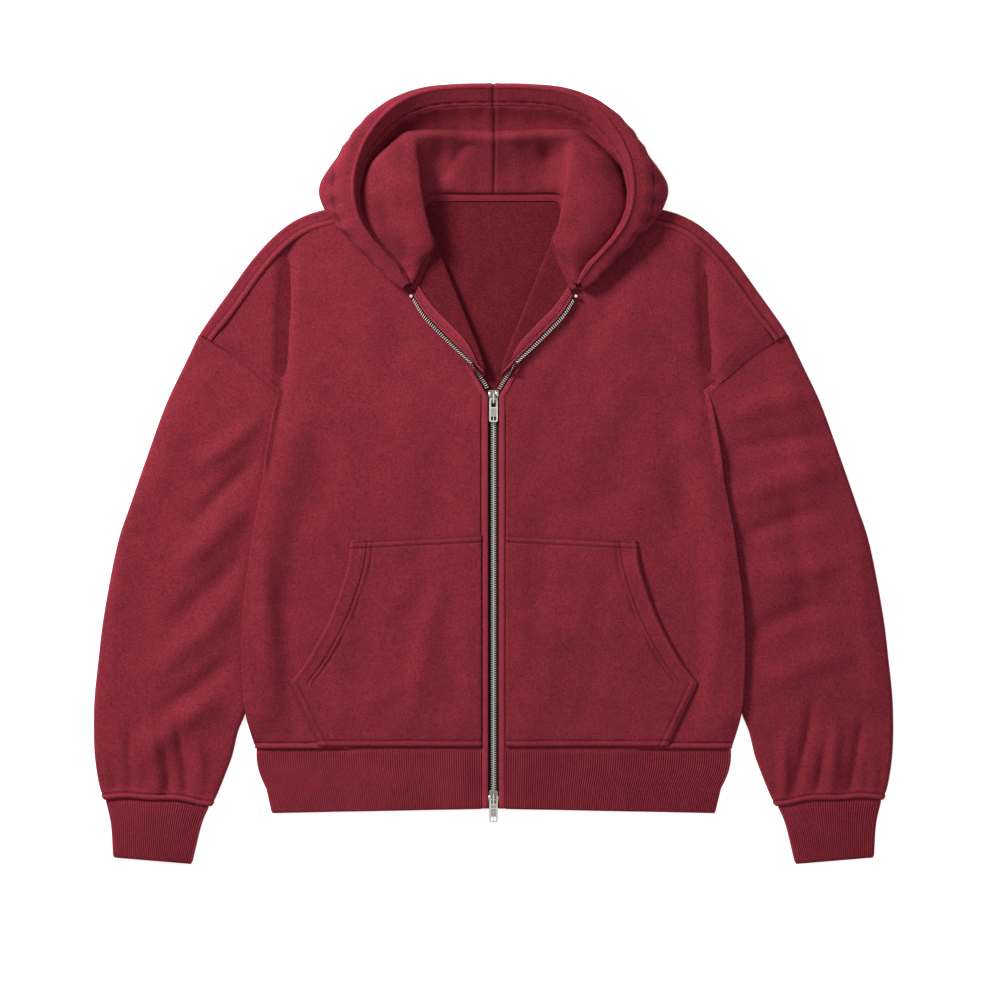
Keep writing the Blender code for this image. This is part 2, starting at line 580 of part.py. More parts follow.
def prism(name, outline, plane, low, high, kind):
    """An outline extruded between two levels; plane "xy" stands it on Z, "yz" lays it along X."""
    points = []
    for level in (low, high):
        for first, second in outline:
            points.append((first, second, level) if plane == "xy" else (level, first, second))
    count = len(outline)
    mesh = bpy.data.meshes.new(name)
    solid = bmesh.new()
    corners = [solid.verts.new(np.array(point, float) * MM) for point in points]
    solid.faces.new(corners[:count][::-1])
    solid.faces.new(corners[count:])
    for index in range(count):
        after = (index + 1) % count
        solid.faces.new((corners[index], corners[after], corners[count + after], corners[count + index]))
    bmesh.ops.recalc_face_normals(solid, faces=solid.faces[:])
    solid.to_mesh(mesh)
    solid.free()
    mesh.materials.append(material(kind))
    made = bpy.data.objects.new(name, mesh)
    bpy.data.collections[COLLECTION].objects.link(made)
    return made


def combine(target, others, operation):
    """Join others to the target, or cut them from it, for good."""
    for other in others:
        boolean = target.modifiers.new(operation, "BOOLEAN")
        boolean.operation = operation
        boolean.solver = "EXACT"
        boolean.object = other
    solid = bpy.data.meshes.new_from_object(target.evaluated_get(bpy.context.evaluated_depsgraph_get()))
    target.modifiers.clear()
    target.data = solid
    for other in others:
        bpy.data.objects.remove(other)
    return target


def build_slider(name, top_y, upside_down):
    """Slider: two plates round the chain, joined by a post at the wide end, with a bridge for the pull."""
    length, wide, narrow = SLIDER["length"], SLIDER["wide"] / 2, SLIDER["narrow"] / 2
    low_y = top_y - length
    upper_half, lower_half = (narrow, wide) if upside_down else (wide, narrow)
    outline = [(-lower_half + 1, low_y), (lower_half - 1, low_y), (lower_half, low_y + 1.2), (lower_half, low_y + 4),
               (upper_half, top_y - 4), (upper_half, top_y - 1.2), (upper_half - 1.6, top_y),
               (-upper_half + 1.6, top_y), (-upper_half, top_y - 1.2), (-upper_half, top_y - 4),
               (-lower_half, low_y + 4), (-lower_half, low_y + 1.2)]
    slider = prism(name, outline, "xy", *SLIDER["upper_z"], "metal")
    lower = prism(name + "_lower", outline, "xy", *SLIDER["lower_z"], "metal")
    post_y = (low_y + 0.4, low_y + 3.2) if upside_down else (top_y - 3.2, top_y - 0.4)
    post = solid_box(name + "_post", (-1.1, post_y[0], SLIDER["lower_z"][0] + 0.5),
                     (1.1, post_y[1], SLIDER["upper_z"][0] + 0.5), "metal")
    plate, arch = SLIDER["upper_z"][1] - 0.4, BRIDGE["top_z"]
    far, near = top_y - 3.5, top_y - 3.5 - BRIDGE["length"]
    bar = BRIDGE["bar"]
    profile = [(near, plate), (near, arch - 1.8), (near + 1.5, arch), (far - 1.5, arch), (far, arch - 1.8),
               (far, plate), (far - bar, plate), (far - bar, arch - 2.2), (far - bar - 0.8, arch - 1.4),
               (near + bar + 0.8, arch - 1.4), (near + bar, arch - 2.2), (near + bar, plate)]
    bridge = prism(name + "_bridge", profile, "yz", -BRIDGE["half_x"], BRIDGE["half_x"], "metal")
    combine(slider, [lower, post, bridge], "UNION")


def pull_axis_y(slider_top_y):
    return slider_top_y - 3.5 - BRIDGE["length"] + BRIDGE["bar"] + PULL["bar"] / 2 + 0.45


def build_pull(name, slider_top_y):
    """Pull tab, with a window whose end bar passes under the slider's bridge; origin on the bar."""
    half, thick = PULL["width"] / 2, PULL["thick"] / 2
    bar = PULL["bar"] / 2
    end = -(PULL["length"] - bar)
    outline = [(-half, -3), (-half + 0.4, bar - 1), (-half + 1.4, bar), (half - 1.4, bar), (half - 0.4, bar - 1),
               (half, -3), (half, end + 1.5), (half - 1.2, end), (-half + 1.2, end), (-half, end + 1.5)]
    pull = prism(name, outline, "xy", -thick, thick, "metal")
    window_half = PULL["window"][0] / 2
    cutters = [solid_box(name + "_window", (-window_half, -bar - PULL["window"][1], -2), (window_half, -bar, 2),
                         "metal")]
    hole = PULL["hole"]
    for index, side in enumerate((-1, 1)):
        middle = side * (hole / 2 + 0.55)
        cutters.append(solid_box(f"{name}_hole_{index}", (middle - hole / 2, end + 1.8, -2),
                                 (middle + hole / 2, end + 1.8 + 2 * hole, 2), "metal"))
    combine(pull, cutters, "DIFFERENCE")
    pull.location = (0, pull_axis_y(slider_top_y) * MM, PULL_Z * MM)


def build_metal():
    solid_box("zip_chain", (-CHAIN_HALF, ZIP_END_Y, CHAIN_Z[0]), (CHAIN_HALF, ZIP_TOP_Y, CHAIN_Z[1]), "metal")
    solid_box("zip_box", (-3.2, LOW_SLIDER_Y - 18.0, 3.6), (3.2, LOW_SLIDER_Y - 13.6, 8.2), "metal", 0.6)
    build_slider("slider_top", TOP_SLIDER_Y, False)
    build_slider("slider_bottom", LOW_SLIDER_Y, True)
    build_pull("pull_top", TOP_SLIDER_Y)
    build_pull("pull_bottom", LOW_SLIDER_Y)


def main():
    for item in list(bpy.data.objects):
        bpy.data.objects.remove(item)
    if COLLECTION not in bpy.data.collections:
        bpy.context.scene.collection.children.link(bpy.data.collections.new(COLLECTION))
    build_back()
    pair("front", front_grid(), CLOTH, "fleece")
    pair("pocket", pocket_grid(), POCKET_CLOTH, "fleece")
    build_zip_edges()
    build_sleeves()
    build_hem()
    build_hood()
    build_neck_tape()
    build_metal()


main()
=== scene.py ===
"""Full-zip fleece hoodie laid flat: cloth, stitching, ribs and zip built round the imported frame."""

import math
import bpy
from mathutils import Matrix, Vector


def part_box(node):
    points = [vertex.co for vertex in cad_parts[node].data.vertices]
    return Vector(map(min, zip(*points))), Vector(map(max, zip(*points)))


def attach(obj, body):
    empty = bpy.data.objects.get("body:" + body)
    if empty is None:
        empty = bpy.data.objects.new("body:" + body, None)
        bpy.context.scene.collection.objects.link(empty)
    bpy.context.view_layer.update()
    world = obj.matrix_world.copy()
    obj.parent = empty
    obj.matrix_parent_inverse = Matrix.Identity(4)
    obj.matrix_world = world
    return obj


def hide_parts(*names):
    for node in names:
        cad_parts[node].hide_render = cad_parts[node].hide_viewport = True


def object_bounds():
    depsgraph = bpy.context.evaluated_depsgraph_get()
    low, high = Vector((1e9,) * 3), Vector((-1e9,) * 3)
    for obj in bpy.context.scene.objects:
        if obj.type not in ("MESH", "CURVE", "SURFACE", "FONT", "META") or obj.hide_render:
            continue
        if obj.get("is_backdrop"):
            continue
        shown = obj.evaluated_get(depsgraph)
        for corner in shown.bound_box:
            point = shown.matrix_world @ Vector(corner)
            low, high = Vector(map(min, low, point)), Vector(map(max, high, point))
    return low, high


bl_info = {
    "name": "Zip up hoodie",
    "version": (1, 0, 0),
    "blender": (4, 5, 0),
    "location": "3D View > Sidebar > Hoodie",
    "description": "Builds a laid-out full-zip fleece hoodie piece by piece",
    "category": "Add Mesh",
}

import bpy
import numpy as np
from bpy.props import FloatProperty, FloatVectorProperty, PointerProperty
from mathutils import Vector

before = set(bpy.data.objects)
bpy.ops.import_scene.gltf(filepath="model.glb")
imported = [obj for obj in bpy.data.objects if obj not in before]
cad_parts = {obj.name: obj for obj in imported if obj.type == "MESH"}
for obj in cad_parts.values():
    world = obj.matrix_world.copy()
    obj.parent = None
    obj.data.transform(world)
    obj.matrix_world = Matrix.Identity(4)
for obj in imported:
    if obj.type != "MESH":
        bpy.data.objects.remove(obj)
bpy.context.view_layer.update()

MM = 0.001
GARMENT = "garment"
PLY_GAP = 0.4
CLOTH = 2.6
PLY = CLOTH + PLY_GAP
RIB = 2.6
HOOD_CLOTH = 2.4
POCKET_CLOTH = 2.2
TAPE = 0.8
TRIM = 1.0
BACK_Z = CLOTH / 2
SIDE_LIFT = 7.0
CENTRE_LIFT = 3.0
BODY_PUFF = 1.3
CHAIN_HALF = 3.1
CHAIN_MIDDLE = 5.85
PLACKET = (6.6, 13.2)
FRONT_EDGE = 13.6
TURN_RADIUS = 1.9
TWIST_END = 0.21
SHOULDER_TURN = 12.0
HEM_Y = -299.0
HEM_END_Y = -367.0
HEM_SIDE_END = 243.0
TAPE_RISE = CLOTH / 2 + TAPE / 2 + 0.4
ARMPIT_Y = 92.0
BACK_TURN_RADIUS = 1.7
BAND_TOP_Y = 86.5
TAPE_TOP_Y = 86.0
CHAIN_LOW_Y = -354.0
HEM_LENGTH = 68.0
SLEEVE_LENGTH = 560.0
SLEEVE_LOOP = 134
STITCH_GAP = 0.9
STITCH_WIDTH = 0.42
STITCH_LIFT = 0.13
HOOD_STITCH = 22.0
MOUTH_STITCHES = (19.5, 25.5)
SIDE_STITCHES = (3.0, 9.5)
TOP_STITCHES = (2.6, 8.6)
BASE_STITCH = 5.9
SMALLEST_SHEET = 0.0105
# distances from the centre front where the tape lies flat on the lapel
LAPEL_STOPS = (4.2, 13.5)
# one tooth in plan: distance from the centre line and half width, head to foot
TOOTH = ((-1.0, 0.42), (-0.5, 0.6), (0.5, 0.5), (1.2, 0.46), (3.0, 0.46), (3.1, 0.36))
TOOTH_HEIGHT = 2.3

# outlines of the +X half, millimetres in the frame's axes
SIDE = {"y": (-299, -285, -262, -233, -182, -131, -90, -50, 0, 37, 60, 92),
        "x": (262, 266.5, 272.5, 275.5, 276.5, 273.5, 268, 262, 252, 245.5, 241.5, 236)}
ARMHOLE = {"x": (236, 264.6, 287.7, 307.5, 323), "y": (92, 116.6, 135.3, 148.5, 154)}
NECKLINE = {"x": (100, 84, 77, 71, 66.5), "y": (286, 288, 280, 268, 256)}
OUTLINE = {"x": (323, 312, 287.7, 264.6, 240, 216, 184, 130, 90, 45, 0),
           "y": (154, 170.5, 204.6, 236.5, 263, 280.5, 291.5, 298, 302, 303, 303)}
ZIP_EDGE = {"x": (0, 4.6, 8, 16.4, 30.5, 47.3, 64.1, 78.2, 91),
            "y": (88, 94, 100.6, 113.3, 127.3, 142.8, 159.6, 175, 196)}
FOLD = {"x": (0, 3.5, 9.5, 16.4, 22, 33.2, 44.6, 55.7, 65),
        "y": (88, 96, 113, 133, 147, 175, 203, 231, 254)}
SLEEVE_OUTER = {"x": (323.4, 339, 360, 381, 399, 413, 427.4, 434, 438.5, 438.5, 434.5, 429),
                "y": (153.6, 121, 76, 18, -34, -77, -152, -205, -252, -300, -332, -353)}
SLEEVE_INNER = {"x": (236.6, 239.8, 243.8, 246.6, 249.6, 256, 261.5, 265.5, 270, 274.5, 282.5, 289, 298.7,
                      310.5),
                "y": (91.3, 60, 33, 5, -50, -100, -150, -200, -240, -262, -282, -309, -334, -360)}
CUFF_SEAM = {"x": (310.5, 325, 348, 381, 404, 429), "y": (-361, -359.5, -354.5, -354, -352, -354)}
CUFF = {"outer_x": (426.5, 420, 417.5), "outer_y": (-355.5, -384, -421),
        "inner_x": (313.5, 323, 333.5), "inner_y": (-362.5, -385, -428)}
POCKET_EDGE = {"x": (192, 203, 214, 225, 210.7, 198.6, 182, 171, 162, 158.5),
               "y": (-298, -275, -252, -229, -211, -191.4, -159.5, -131, -101, -72.5)}
POCKET_CORNER = 3
POCKET_TOP_Y = -65.0

# hood sections, centre back round to the zip's top end; each column runs along one line of the hood
HOOD = {
    "neck": ((0, 311, 5.3), (27, 311, 5.3), (50, 311.4, 5.3), (68, 311, 5.5), (76, 307, 6),
             (78.5, 303, 7.5), (80, 298, 11), (78.5, 290, 14), (76, 280, 14), (73, 268, 14), (70, 259, 14),
             (68.5, 253, 14), (77, 235, 14), (88, 212, 14)),
    "rise": ((0, 336, 14), (28, 336, 13), (52, 334, 12), (71, 335, 11), (80, 332, 16), (81, 322, 19),
             (81.5, 309, 21), (79, 296, 22), (77, 283, 22), (73.5, 269, 21), (69, 258, 20), (68, 251, 18),
             (78.5, 234, 16), (88.6, 211.6, 15.2)),
    "fold": ((0, 357, 23), (29, 358, 23), (55, 358, 23), (76, 360, 25), (84, 356, 29), (83, 340, 29),
             (82, 322, 29), (80, 304, 28), (77, 287, 27), (73, 271, 25.5), (69.5, 259, 23), (69.5, 249, 20),
             (80.5, 233, 18), (89.2, 211.2, 16.2)),
    "face": ((0, 369, 29), (30, 370.5, 30), (57, 372, 31), (80, 371.5, 32), (91, 366, 31), (99, 351, 31),
             (104, 330, 30), (106, 307, 30), (104, 285, 28.5), (97, 264, 26.5), (88, 249, 24.5),
             (83, 240, 21.5), (87, 229, 18.8), (90, 210.9, 16.6)),
    "edge": ((0, 374, 25), (31, 375.5, 26), (60, 377, 27), (87, 376, 27), (99, 371, 27), (114, 357, 27),
             (130, 340, 25), (138, 318, 22.5), (136, 292, 21.5), (126, 268, 20.5), (112, 249, 19.5),
             (98, 235, 18.5), (93, 226, 17.8), (91, 210.6, 16.5)),
    "trough": ((0, 376, 8), (32, 377.5, 8), (62, 379, 8), (90, 378.5, 8), (103, 374, 8), (118.5, 360, 8.5),
               (135, 342, 10.5), (143.5, 319, 14), (146, 296, 16), (137, 273, 16), (123, 253, 16),
               (107, 237, 16), (98, 225, 16), (92, 210.2, 16)),
    "lip": ((0, 427, 32), (36, 426.5, 32), (72, 422.5, 32), (101, 411.5, 32), (122, 395, 32),
            (138.5, 374, 32), (149.5, 350.5, 32), (155, 325, 32), (154, 299, 31.5), (147, 277.5, 30),
            (134.5, 259, 28), (119, 242, 25), (106, 227, 22), (95.5, 210.5, 19)),
    "band": ((0, 428.6, 27), (37, 428, 27), (75, 424.5, 27), (106, 414.5, 27), (130, 399, 28),
             (150, 378, 29), (163, 355, 29), (172, 327, 28), (169.5, 298, 27), (161, 273, 25.5),
             (147, 253.5, 23.5), (128.5, 234.5, 21), (114, 218, 18.5), (99, 205.5, 16.5)),
    "bulge": ((0, 427, 13), (36, 426, 13), (73, 422, 13), (106, 411, 13), (132, 395, 14), (154, 371, 15),
              (171, 347, 15), (190, 319, 14), (187, 296, 15.5), (171, 274, 15.5), (151, 254.5, 15.5),
              (130, 234, 15), (113.5, 217, 14.5), (98, 205, 13.8)),
    "under": ((0, 415, 1.3), (35, 414, 1.3), (70, 410, 1.3), (99, 399, 1.3), (120, 383, 1.3),
              (138, 361, 1.3), (154, 339, 2), (170, 314, 8), (166, 291, 11.2), (154, 270, 11.2),
              (139, 253, 11.2), (121, 234, 11.2), (107, 217.5, 11.2), (95, 206.5, 11.2)),
    "collar": ((0, 303.6, 1.3), (27, 303.6, 1.3), (50, 303.8, 1.3), (70, 304.5, 1.3), (80, 305, 2.6),
               (84, 303, 5.5), (85, 298, 9.8), (82.5, 290, 11.2), (80, 280, 11.2), (77, 268, 11.2),
               (74.5, 261, 11.2), (72.5, 256.5, 11.2), (80, 238.5, 11.2), (90.5, 215.5, 11.2)),
}
HOOD_HEM = 20.0
NECK_TAPE = {
    "body": ((0, 302, 3.4), (30, 302, 3.4), (56, 302, 3.4), (69, 301.5, 3.6), (74, 295, 6.0), (73, 285, 7.8),
             (69.5, 271, 8.2), (63.6, 256.5, 11.5), (70.7, 235, 11.5), (78.8, 217, 11.5), (85, 203, 11.5)),
    "hood": ((0, 311.4, 3.4), (30, 311.6, 3.4), (54, 312, 3.4), (71, 312, 3.6), (82, 303, 6.0),
             (81, 288.5, 7.8), (76, 272, 8.2), (69, 258.6, 11.8), (77.1, 237.8, 11.9), (85.2, 219.8, 11.9),
             (91.4, 205.8, 11.9)),
}

# soft ridges (+) and troughs (-): start x, y, end x, y, half width, height, all millimetres.
# 1 is the wearer's left (+X), -1 the right; x is the distance from the centre front
FRONT_FOLDS = {
    1: ((238, 100, 231, 250, 9, -1.6), (150, 120, 60, -20, 30, 0.9), (215, 60, 150, -60, 22, 0.8),
        (250, -120, 235, -260, 10, 0.9), (60, -150, 40, 60, 26, -0.5), (180, 235, 120, 130, 22, 0.7),
        (205, -40, 190, 60, 16, -0.6), (120, 60, 95, 180, 20, -0.5), (72, -95, 58, -260, 14, 0.5),
        (118, -130, 100, -270, 13, -0.45)),
    -1: ((234, 95, 226, 250, 8, -1.8), (140, 150, 70, 10, 28, 0.8), (225, 40, 165, -80, 20, 0.9),
         (255, -90, 238, -250, 11, 1.0), (70, -120, 48, 40, 24, -0.5), (185, 225, 110, 150, 20, 0.8),
         (200, -60, 180, 50, 15, -0.6), (115, 70, 100, 190, 20, -0.5), (61, -105, 90, -285, 13, 0.8),
         (50, -160, 34, -262, 14, -0.6), (142, -140, 152, -270, 15, -0.55)),
}
POCKET_FOLDS = ((60, -90, 150, -180, 16, 1.3), (90, -230, 190, -270, 13, 1.2),
                (40, -150, 110, -250, 20, -0.8), (120, -80, 130, -150, 12, -0.8))
SLEEVE_FOLDS = {
    1: ((256, 66, 352, 88, 13, 1.6), (262, 30, 372, 44, 10, -1.4), (268, -20, 372, 6, 14, 1.7),
        (275, -66, 362, -38, 10, -1.5), (285, -112, 388, -96, 15, 1.6), (288, -170, 372, -140, 12, -1.5),
        (300, -225, 395, -196, 14, 1.4), (335, -340, 352, -250, 6, -1.6), (372, -348, 376, -275, 7, 1.6),
        (396, -346, 405, -270, 6, -1.3), (318, -345, 322, -285, 6, 1.3), (322, 110, 352, -30, 15, 1.0),
        (398, -60, 418, -230, 12, 1.2), (355, -345, 366, -300, 5, -1.0), (330, -20, 345, -170, 12, -0.9)),
    -1: ((260, 60, 320, 10, 11, 1.5), (264, 15, 330, -50, 9, -1.4), (270, -35, 345, -100, 14, 1.7),
         (280, -90, 350, -165, 11, -1.3), (286, -140, 365, -215, 13, 1.4), (292, -205, 362, -262, 11, -1.5),
         (302, -246, 390, -306, 13, 1.4), (338, -342, 350, -262, 6, -1.7), (368, -347, 380, -270, 7, 1.5),
         (398, -346, 402, -282, 6, -1.4), (320, -347, 326, -290, 6, 1.2), (335, 90, 390, -50, 17, 0.9),
         (408, -90, 424, -220, 12, 0.7), (357, -345, 362, -305, 5, -1.1)),
}


# ---------------------------------------------------------------- curves and grids
def smooth(low, high, value):
    """0 below low, 1 above high and an S-curve between."""
    step = np.clip((np.asarray(value, float) - low) / (high - low), 0, 1)
    return step * step * (3 - 2 * step)


def refine(points, per_span):
    """Catmull-Rom curve through points along their first axis, per_span steps to each span."""
    points = np.asarray(points, float)
    ends = np.concatenate([[2 * points[0] - points[1]], points, [2 * points[-1] - points[-2]]])
    dense = []
    for i in range(1, len(ends) - 2):
        before, start, end, after = ends[i - 1:i + 3]
        for step in np.arange(per_span) / per_span:
            dense.append(0.5 * (2 * start + (end - before) * step
                                + (2 * before - 5 * start + 4 * end - after) * step ** 2
                                + (3 * start - before - 3 * end + after) * step ** 3))
    return np.array(dense + [points[-1]])


def run_of(points):
    """Length along a line of points, from its first point to each."""
    return np.concatenate([[0], np.cumsum(np.linalg.norm(np.diff(points, axis=0), axis=1))])


def read(place, run, values):
    """Values along a line at a place, or at each of several, on its run."""
    return np.stack([np.interp(place, run, column) for column in np.transpose(values)], axis=-1)


def unit(vectors):
    return vectors / np.linalg.norm(vectors, axis=-1, keepdims=True)


def at(points, fractions):
    """Points on the curve through the points, at fractions of its length."""
    dense = refine(points, 12)
    run = run_of(dense)
    return read(np.asarray(fractions) * run[-1], run, dense)


def table(rows, *columns):
    return np.stack([rows[column] for column in columns], axis=1).astype(float)


def patch(bottom, top, inner, outer, across, up):
    """Grid filling four edges; bottom and top run from inner to outer."""
    grid = []
    for row, share in enumerate(up):
        mix = (1 - share) * bottom + share * top
        ends = (1 - across)[:, None] * (inner[row] - mix[0]) + across[:, None] * (outer[row] - mix[-1])
        grid.append(mix + ends)
    return np.array(grid)


def dense_ends(length, step, near=0.8, margin=16.0):
    """Shares of a length, close together near both ends and step apart between."""
    edge = np.arange(0, margin, near)
    middle = np.linspace(margin, length - margin, max(2, int((length - 2 * margin) / step)))
    return np.concatenate([edge, middle, length - edge[::-1]]) / length


def side_x(y):
    return np.interp(y, SIDE["y"], SIDE["x"])


def smooth_side_x(y):
    return np.interp(y, *refine(table(SIDE, "y", "x"), 8).T)


def back_height(x, y):
    along = smooth(-299, -262, y) * (1 - smooth(22, 84, y))
    across = smooth(-52, -17, x - side_x(np.minimum(y, ARMPIT_Y)))
    return BACK_Z + SIDE_LIFT * along * across


def front_height(x, y):
    lift = CENTRE_LIFT * (1 - smooth(10, 80, x)) * (1 - 0.75 * smooth(80, 150, y))
    edge = side_x(np.minimum(y, ARMPIT_Y)) + 0.9 * np.maximum(y - ARMPIT_Y, 0)
    return back_height(x, y) + PLY + lift + BODY_PUFF * smooth(0, 14, edge - x)


def folds(x, y, rows):
    """Height added by soft ridges and troughs."""
    total = np.zeros(np.shape(x))
    for x0, y0, x1, y1, width, height in rows:
        dx, dy = x1 - x0, y1 - y0
        length = math.hypot(dx, dy)
        along = ((x - x0) * dx + (y - y0) * dy) / length ** 2
        off = ((x - x0) * dy - (y - y0) * dx) / length
        off = off + 0.12 * width * np.sin(along * 5.0 + x0)
        taper = smooth(-0.25, 0.3, along) * (1 - smooth(0.65, 1.25, along))
        total = total + height * taper * np.exp(-(off / width) ** 2)
    return total


def ripple(x, y, seed, scale):
    """Gentle unevenness of cloth, a sum of a few waves, between about -1 and 1."""
    total = 0.0
    for index in range(5):
        angle = seed * 1.7 + index * 2.4
        reach = scale * (0.7 + 0.35 * index)
        total = total + np.sin((x * math.cos(angle) + y * math.sin(angle)) / reach + seed * 3.1 + index)
    return total / 5


def ridge(distance, width, height):
    """A rounded rise centred on distance 0."""
    return height * np.exp(-(distance / width) ** 2)


def groove(distance, width, depth):
    """A stitched-down line at distance 0."""
    return ridge(distance, width, -2.0 * depth)


# ---------------------------------------------------------------- meshes
def normals_of(grid, closed):
    if closed:
        across = np.roll(grid, -1, axis=1) - np.roll(grid, 1, axis=1)
    else:
        across = np.gradient(grid, axis=1)
    up = np.gradient(grid, axis=0)
    normal = np.cross(across, up)
    length = np.linalg.norm(normal, axis=2, keepdims=True)
    return normal / np.maximum(length, 1e-9)


def mesh_piece(name, vertices, faces, materials, indices=None, smooth_faces=True):
    mesh = bpy.data.meshes.new(name)
    mesh.from_pydata((np.asarray(vertices) * MM).tolist(), [], faces)
    for item in materials:
        mesh.materials.append(item)
    if indices is not None:
        mesh.polygons.foreach_set("material_index", indices)
    mesh.polygons.foreach_set("use_smooth", [smooth_faces] * len(mesh.polygons))
    mesh.update()
    piece = bpy.data.objects.new(name, mesh)
    bpy.context.scene.collection.objects.link(piece)
    return piece


class Shell:
    """A closed sheet of cloth from a grid on its middle; keeps its two faces for stitching."""

    def __init__(self, name, grid, thickness, materials, side=1, closed=False, relief=None):
        grid = np.asarray(grid, float)
        normal = normals_of(grid, closed)
        half = thickness / 2
        raised = np.zeros(grid.shape[:2]) if relief is None else relief
        outer = grid + normal * (half + raised)[..., None]
        inner = grid - normal * half
        mirror = np.array([side, 1.0, 1.0])
        self.outer, self.inner = outer * mirror, inner * mirror
        self.normal = normal * mirror
        rows, columns = grid.shape[:2]
        count = rows * columns
        vertices = [self.outer.reshape(-1, 3), self.inner.reshape(-1, 3)]
        faces, kinds = [], []
        spans = columns if closed else columns - 1
        flip = side < 0

        def add(face, kind):
            faces.append(face[::-1] if flip else face)
            kinds.append(kind)

        inside = 1 if len(materials) > 1 else 0
        for row in range(rows - 1):
            for column in range(spans):
                after = (column + 1) % columns
                a, b = row * columns + column, row * columns + after
                c, d = (row + 1) * columns + after, (row + 1) * columns + column
                add((a, b, c, d), 0)
                add((d + count, c + count, b + count, a + count), inside)
        if closed:
            loops = [list(range(columns)), list(range((rows - 1) * columns, rows * columns))[::-1]]
        else:
            ring = list(range(columns)) + [row * columns + columns - 1 for row in range(1, rows)]
            ring += [(rows - 1) * columns + column for column in range(columns - 2, -1, -1)]
            ring += [row * columns for row in range(rows - 2, 0, -1)]
            loops = [ring]
        start = 2 * count
        flat_outer, flat_inner = vertices[0], vertices[1]
        for ring in loops:
            top, low = flat_outer[ring], flat_inner[ring]
            middle = (top + low) / 2
            tangent = np.roll(middle, -1, axis=0) - np.roll(middle, 1, axis=0)
            outward = np.cross(tangent, top - low) * side
            outward /= np.maximum(np.linalg.norm(outward, axis=1, keepdims=True), 1e-9)
            bulge = np.linalg.norm(top - low, axis=1, keepdims=True) * 0.3
            near_top = middle + (top - low) * 0.32 + outward * bulge * 0.75
            near_low = middle - (top - low) * 0.32 + outward * bulge * 0.75
            vertices += [near_top, near_low]
            size = len(ring)
            for index in range(size):
                after = (index + 1) % size
                t0, t1 = ring[index], ring[after]
                u0, u1 = start + index, start + after
                v0, v1 = start + size + index, start + size + after
                add((t1, t0, u0, u1), 0)
                add((u1, u0, v0, v1), 0)
                add((v1, v0, t0 + count, t1 + count), 0)
            start += 2 * size
        vertices = np.concatenate(vertices)
        self.piece = mesh_piece(name, vertices, faces, materials, kinds)
        # the outer face's relief, kept on the mesh so the fabric paints highlight on ridges and shade in
        # grooves
        relief_highlight_and_shade = np.zeros(len(vertices))
        relief_highlight_and_shade[:count] = raised.reshape(-1)
        self.piece.data.attributes.new("relief_highlight_and_shade", "FLOAT", "POINT").data.foreach_set("value", relief_highlight_and_shade)
        self.grid, self.closed = grid, closed


def declare(piece, node):
    """Ride and replace one piece that stands for a node of the same name: parent it to the garment and hide
    the node.
    """
    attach(piece, GARMENT)
    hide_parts(node)


def threads(name, lines, material, length):
    """Short thread stitches along lines of surface points with their normals."""
    vertices, faces = [], []
    for points, normal in lines:
        run = run_of(points)
        starts = np.arange(STITCH_GAP, run[-1] - length, length + STITCH_GAP)
        if len(starts) == 0:
            continue
        first, last = read(starts, run, points), read(starts + length, run, points)
        up = read(starts + length / 2, run, normal)
        middle = read(starts + length / 2, run, points) + up * (STITCH_WIDTH * 0.9)
        across = np.cross(up, unit(last - first)) * STITCH_WIDTH
        flank = up * STITCH_WIDTH
        for start, end, crown, wide, rise, low in zip(first, last, middle, across, up, flank):
            base = len(vertices)
            vertices += [start - rise * STITCH_LIFT, crown - wide - low, crown + rise * 0.12,
                         crown + wide - low, end - rise * STITCH_LIFT, crown - low * 2.2]
            faces += [(base, base + 2, base + 1), (base, base + 3, base + 2), (base + 4, base + 1, base + 2),
                      (base + 4, base + 2, base + 3), (base, base + 1, base + 5), (base, base + 5, base + 3),
                      (base + 4, base + 5, base + 1), (base + 4, base + 3, base + 5)]
    piece = mesh_piece(name, vertices, faces, [material])
    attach(piece, GARMENT)
    return piece


def edge_distance(grid, edge):
    """Distance of every grid point from one edge, measured along the cloth."""
    grid = np.asarray(grid, float)
    axis = 0 if edge in ("bottom", "top") else 1
    if edge in ("top", "end"):
        return np.flip(edge_distance(np.flip(grid, axis), "bottom" if axis == 0 else "start"), axis)
    steps = np.linalg.norm(np.diff(grid, axis=axis), axis=2)
    pad = [(1, 0), (0, 0)] if axis == 0 else [(0, 0), (1, 0)]
    return np.cumsum(np.pad(steps, pad), axis=axis)


def inset_line(shell, edge, distance, first=0.0, last=1.0):
    """Points and normals along a line on the outer face, a distance in from one edge."""
    points, normal = shell.outer, shell.normal
    if edge in ("bottom", "top"):
        points, normal = points.transpose(1, 0, 2), normal.transpose(1, 0, 2)
    if edge in ("top", "end"):
        points, normal = points[:, ::-1], normal[:, ::-1]
    low, high = int(first * (len(points) - 1)), int(last * (len(points) - 1)) + 1
    found, ups = [], []
    for row, up in zip(points[low:high], normal[low:high]):
        run = run_of(row)
        found.append(read(distance, run, row))
        ups.append(read(distance, run, up))
    return np.array(found), np.array(ups)


def declare_sheet(shell, node):
    """Ride and replace a shell's piece as declare does; its longest row and longest column are measured but
    not used.
    """
    grid = np.concatenate([shell.grid, shell.grid[:, :1]], axis=1) if shell.closed else shell.grid
    across = np.linalg.norm(np.diff(grid, axis=1), axis=2).sum(axis=1).max() * MM
    up = np.linalg.norm(np.diff(grid, axis=0), axis=2).sum(axis=0).max() * MM
    across, up = max(across, SMALLEST_SHEET), max(up, SMALLEST_SHEET)
    declare(shell.piece, node)


# ---------------------------------------------------------------- materials
def linear(colour):
    return tuple(value / 12.92 if value <= 0.04045 else ((value + 0.055) / 1.055) ** 2.4 for value in colour)


def new_material(name):
    made = bpy.data.materials.new(name)
    made.use_nodes = True
    tree = made.node_tree
    shader = next(node for node in tree.nodes if node.type == "BSDF_PRINCIPLED")
    return made, tree, shader


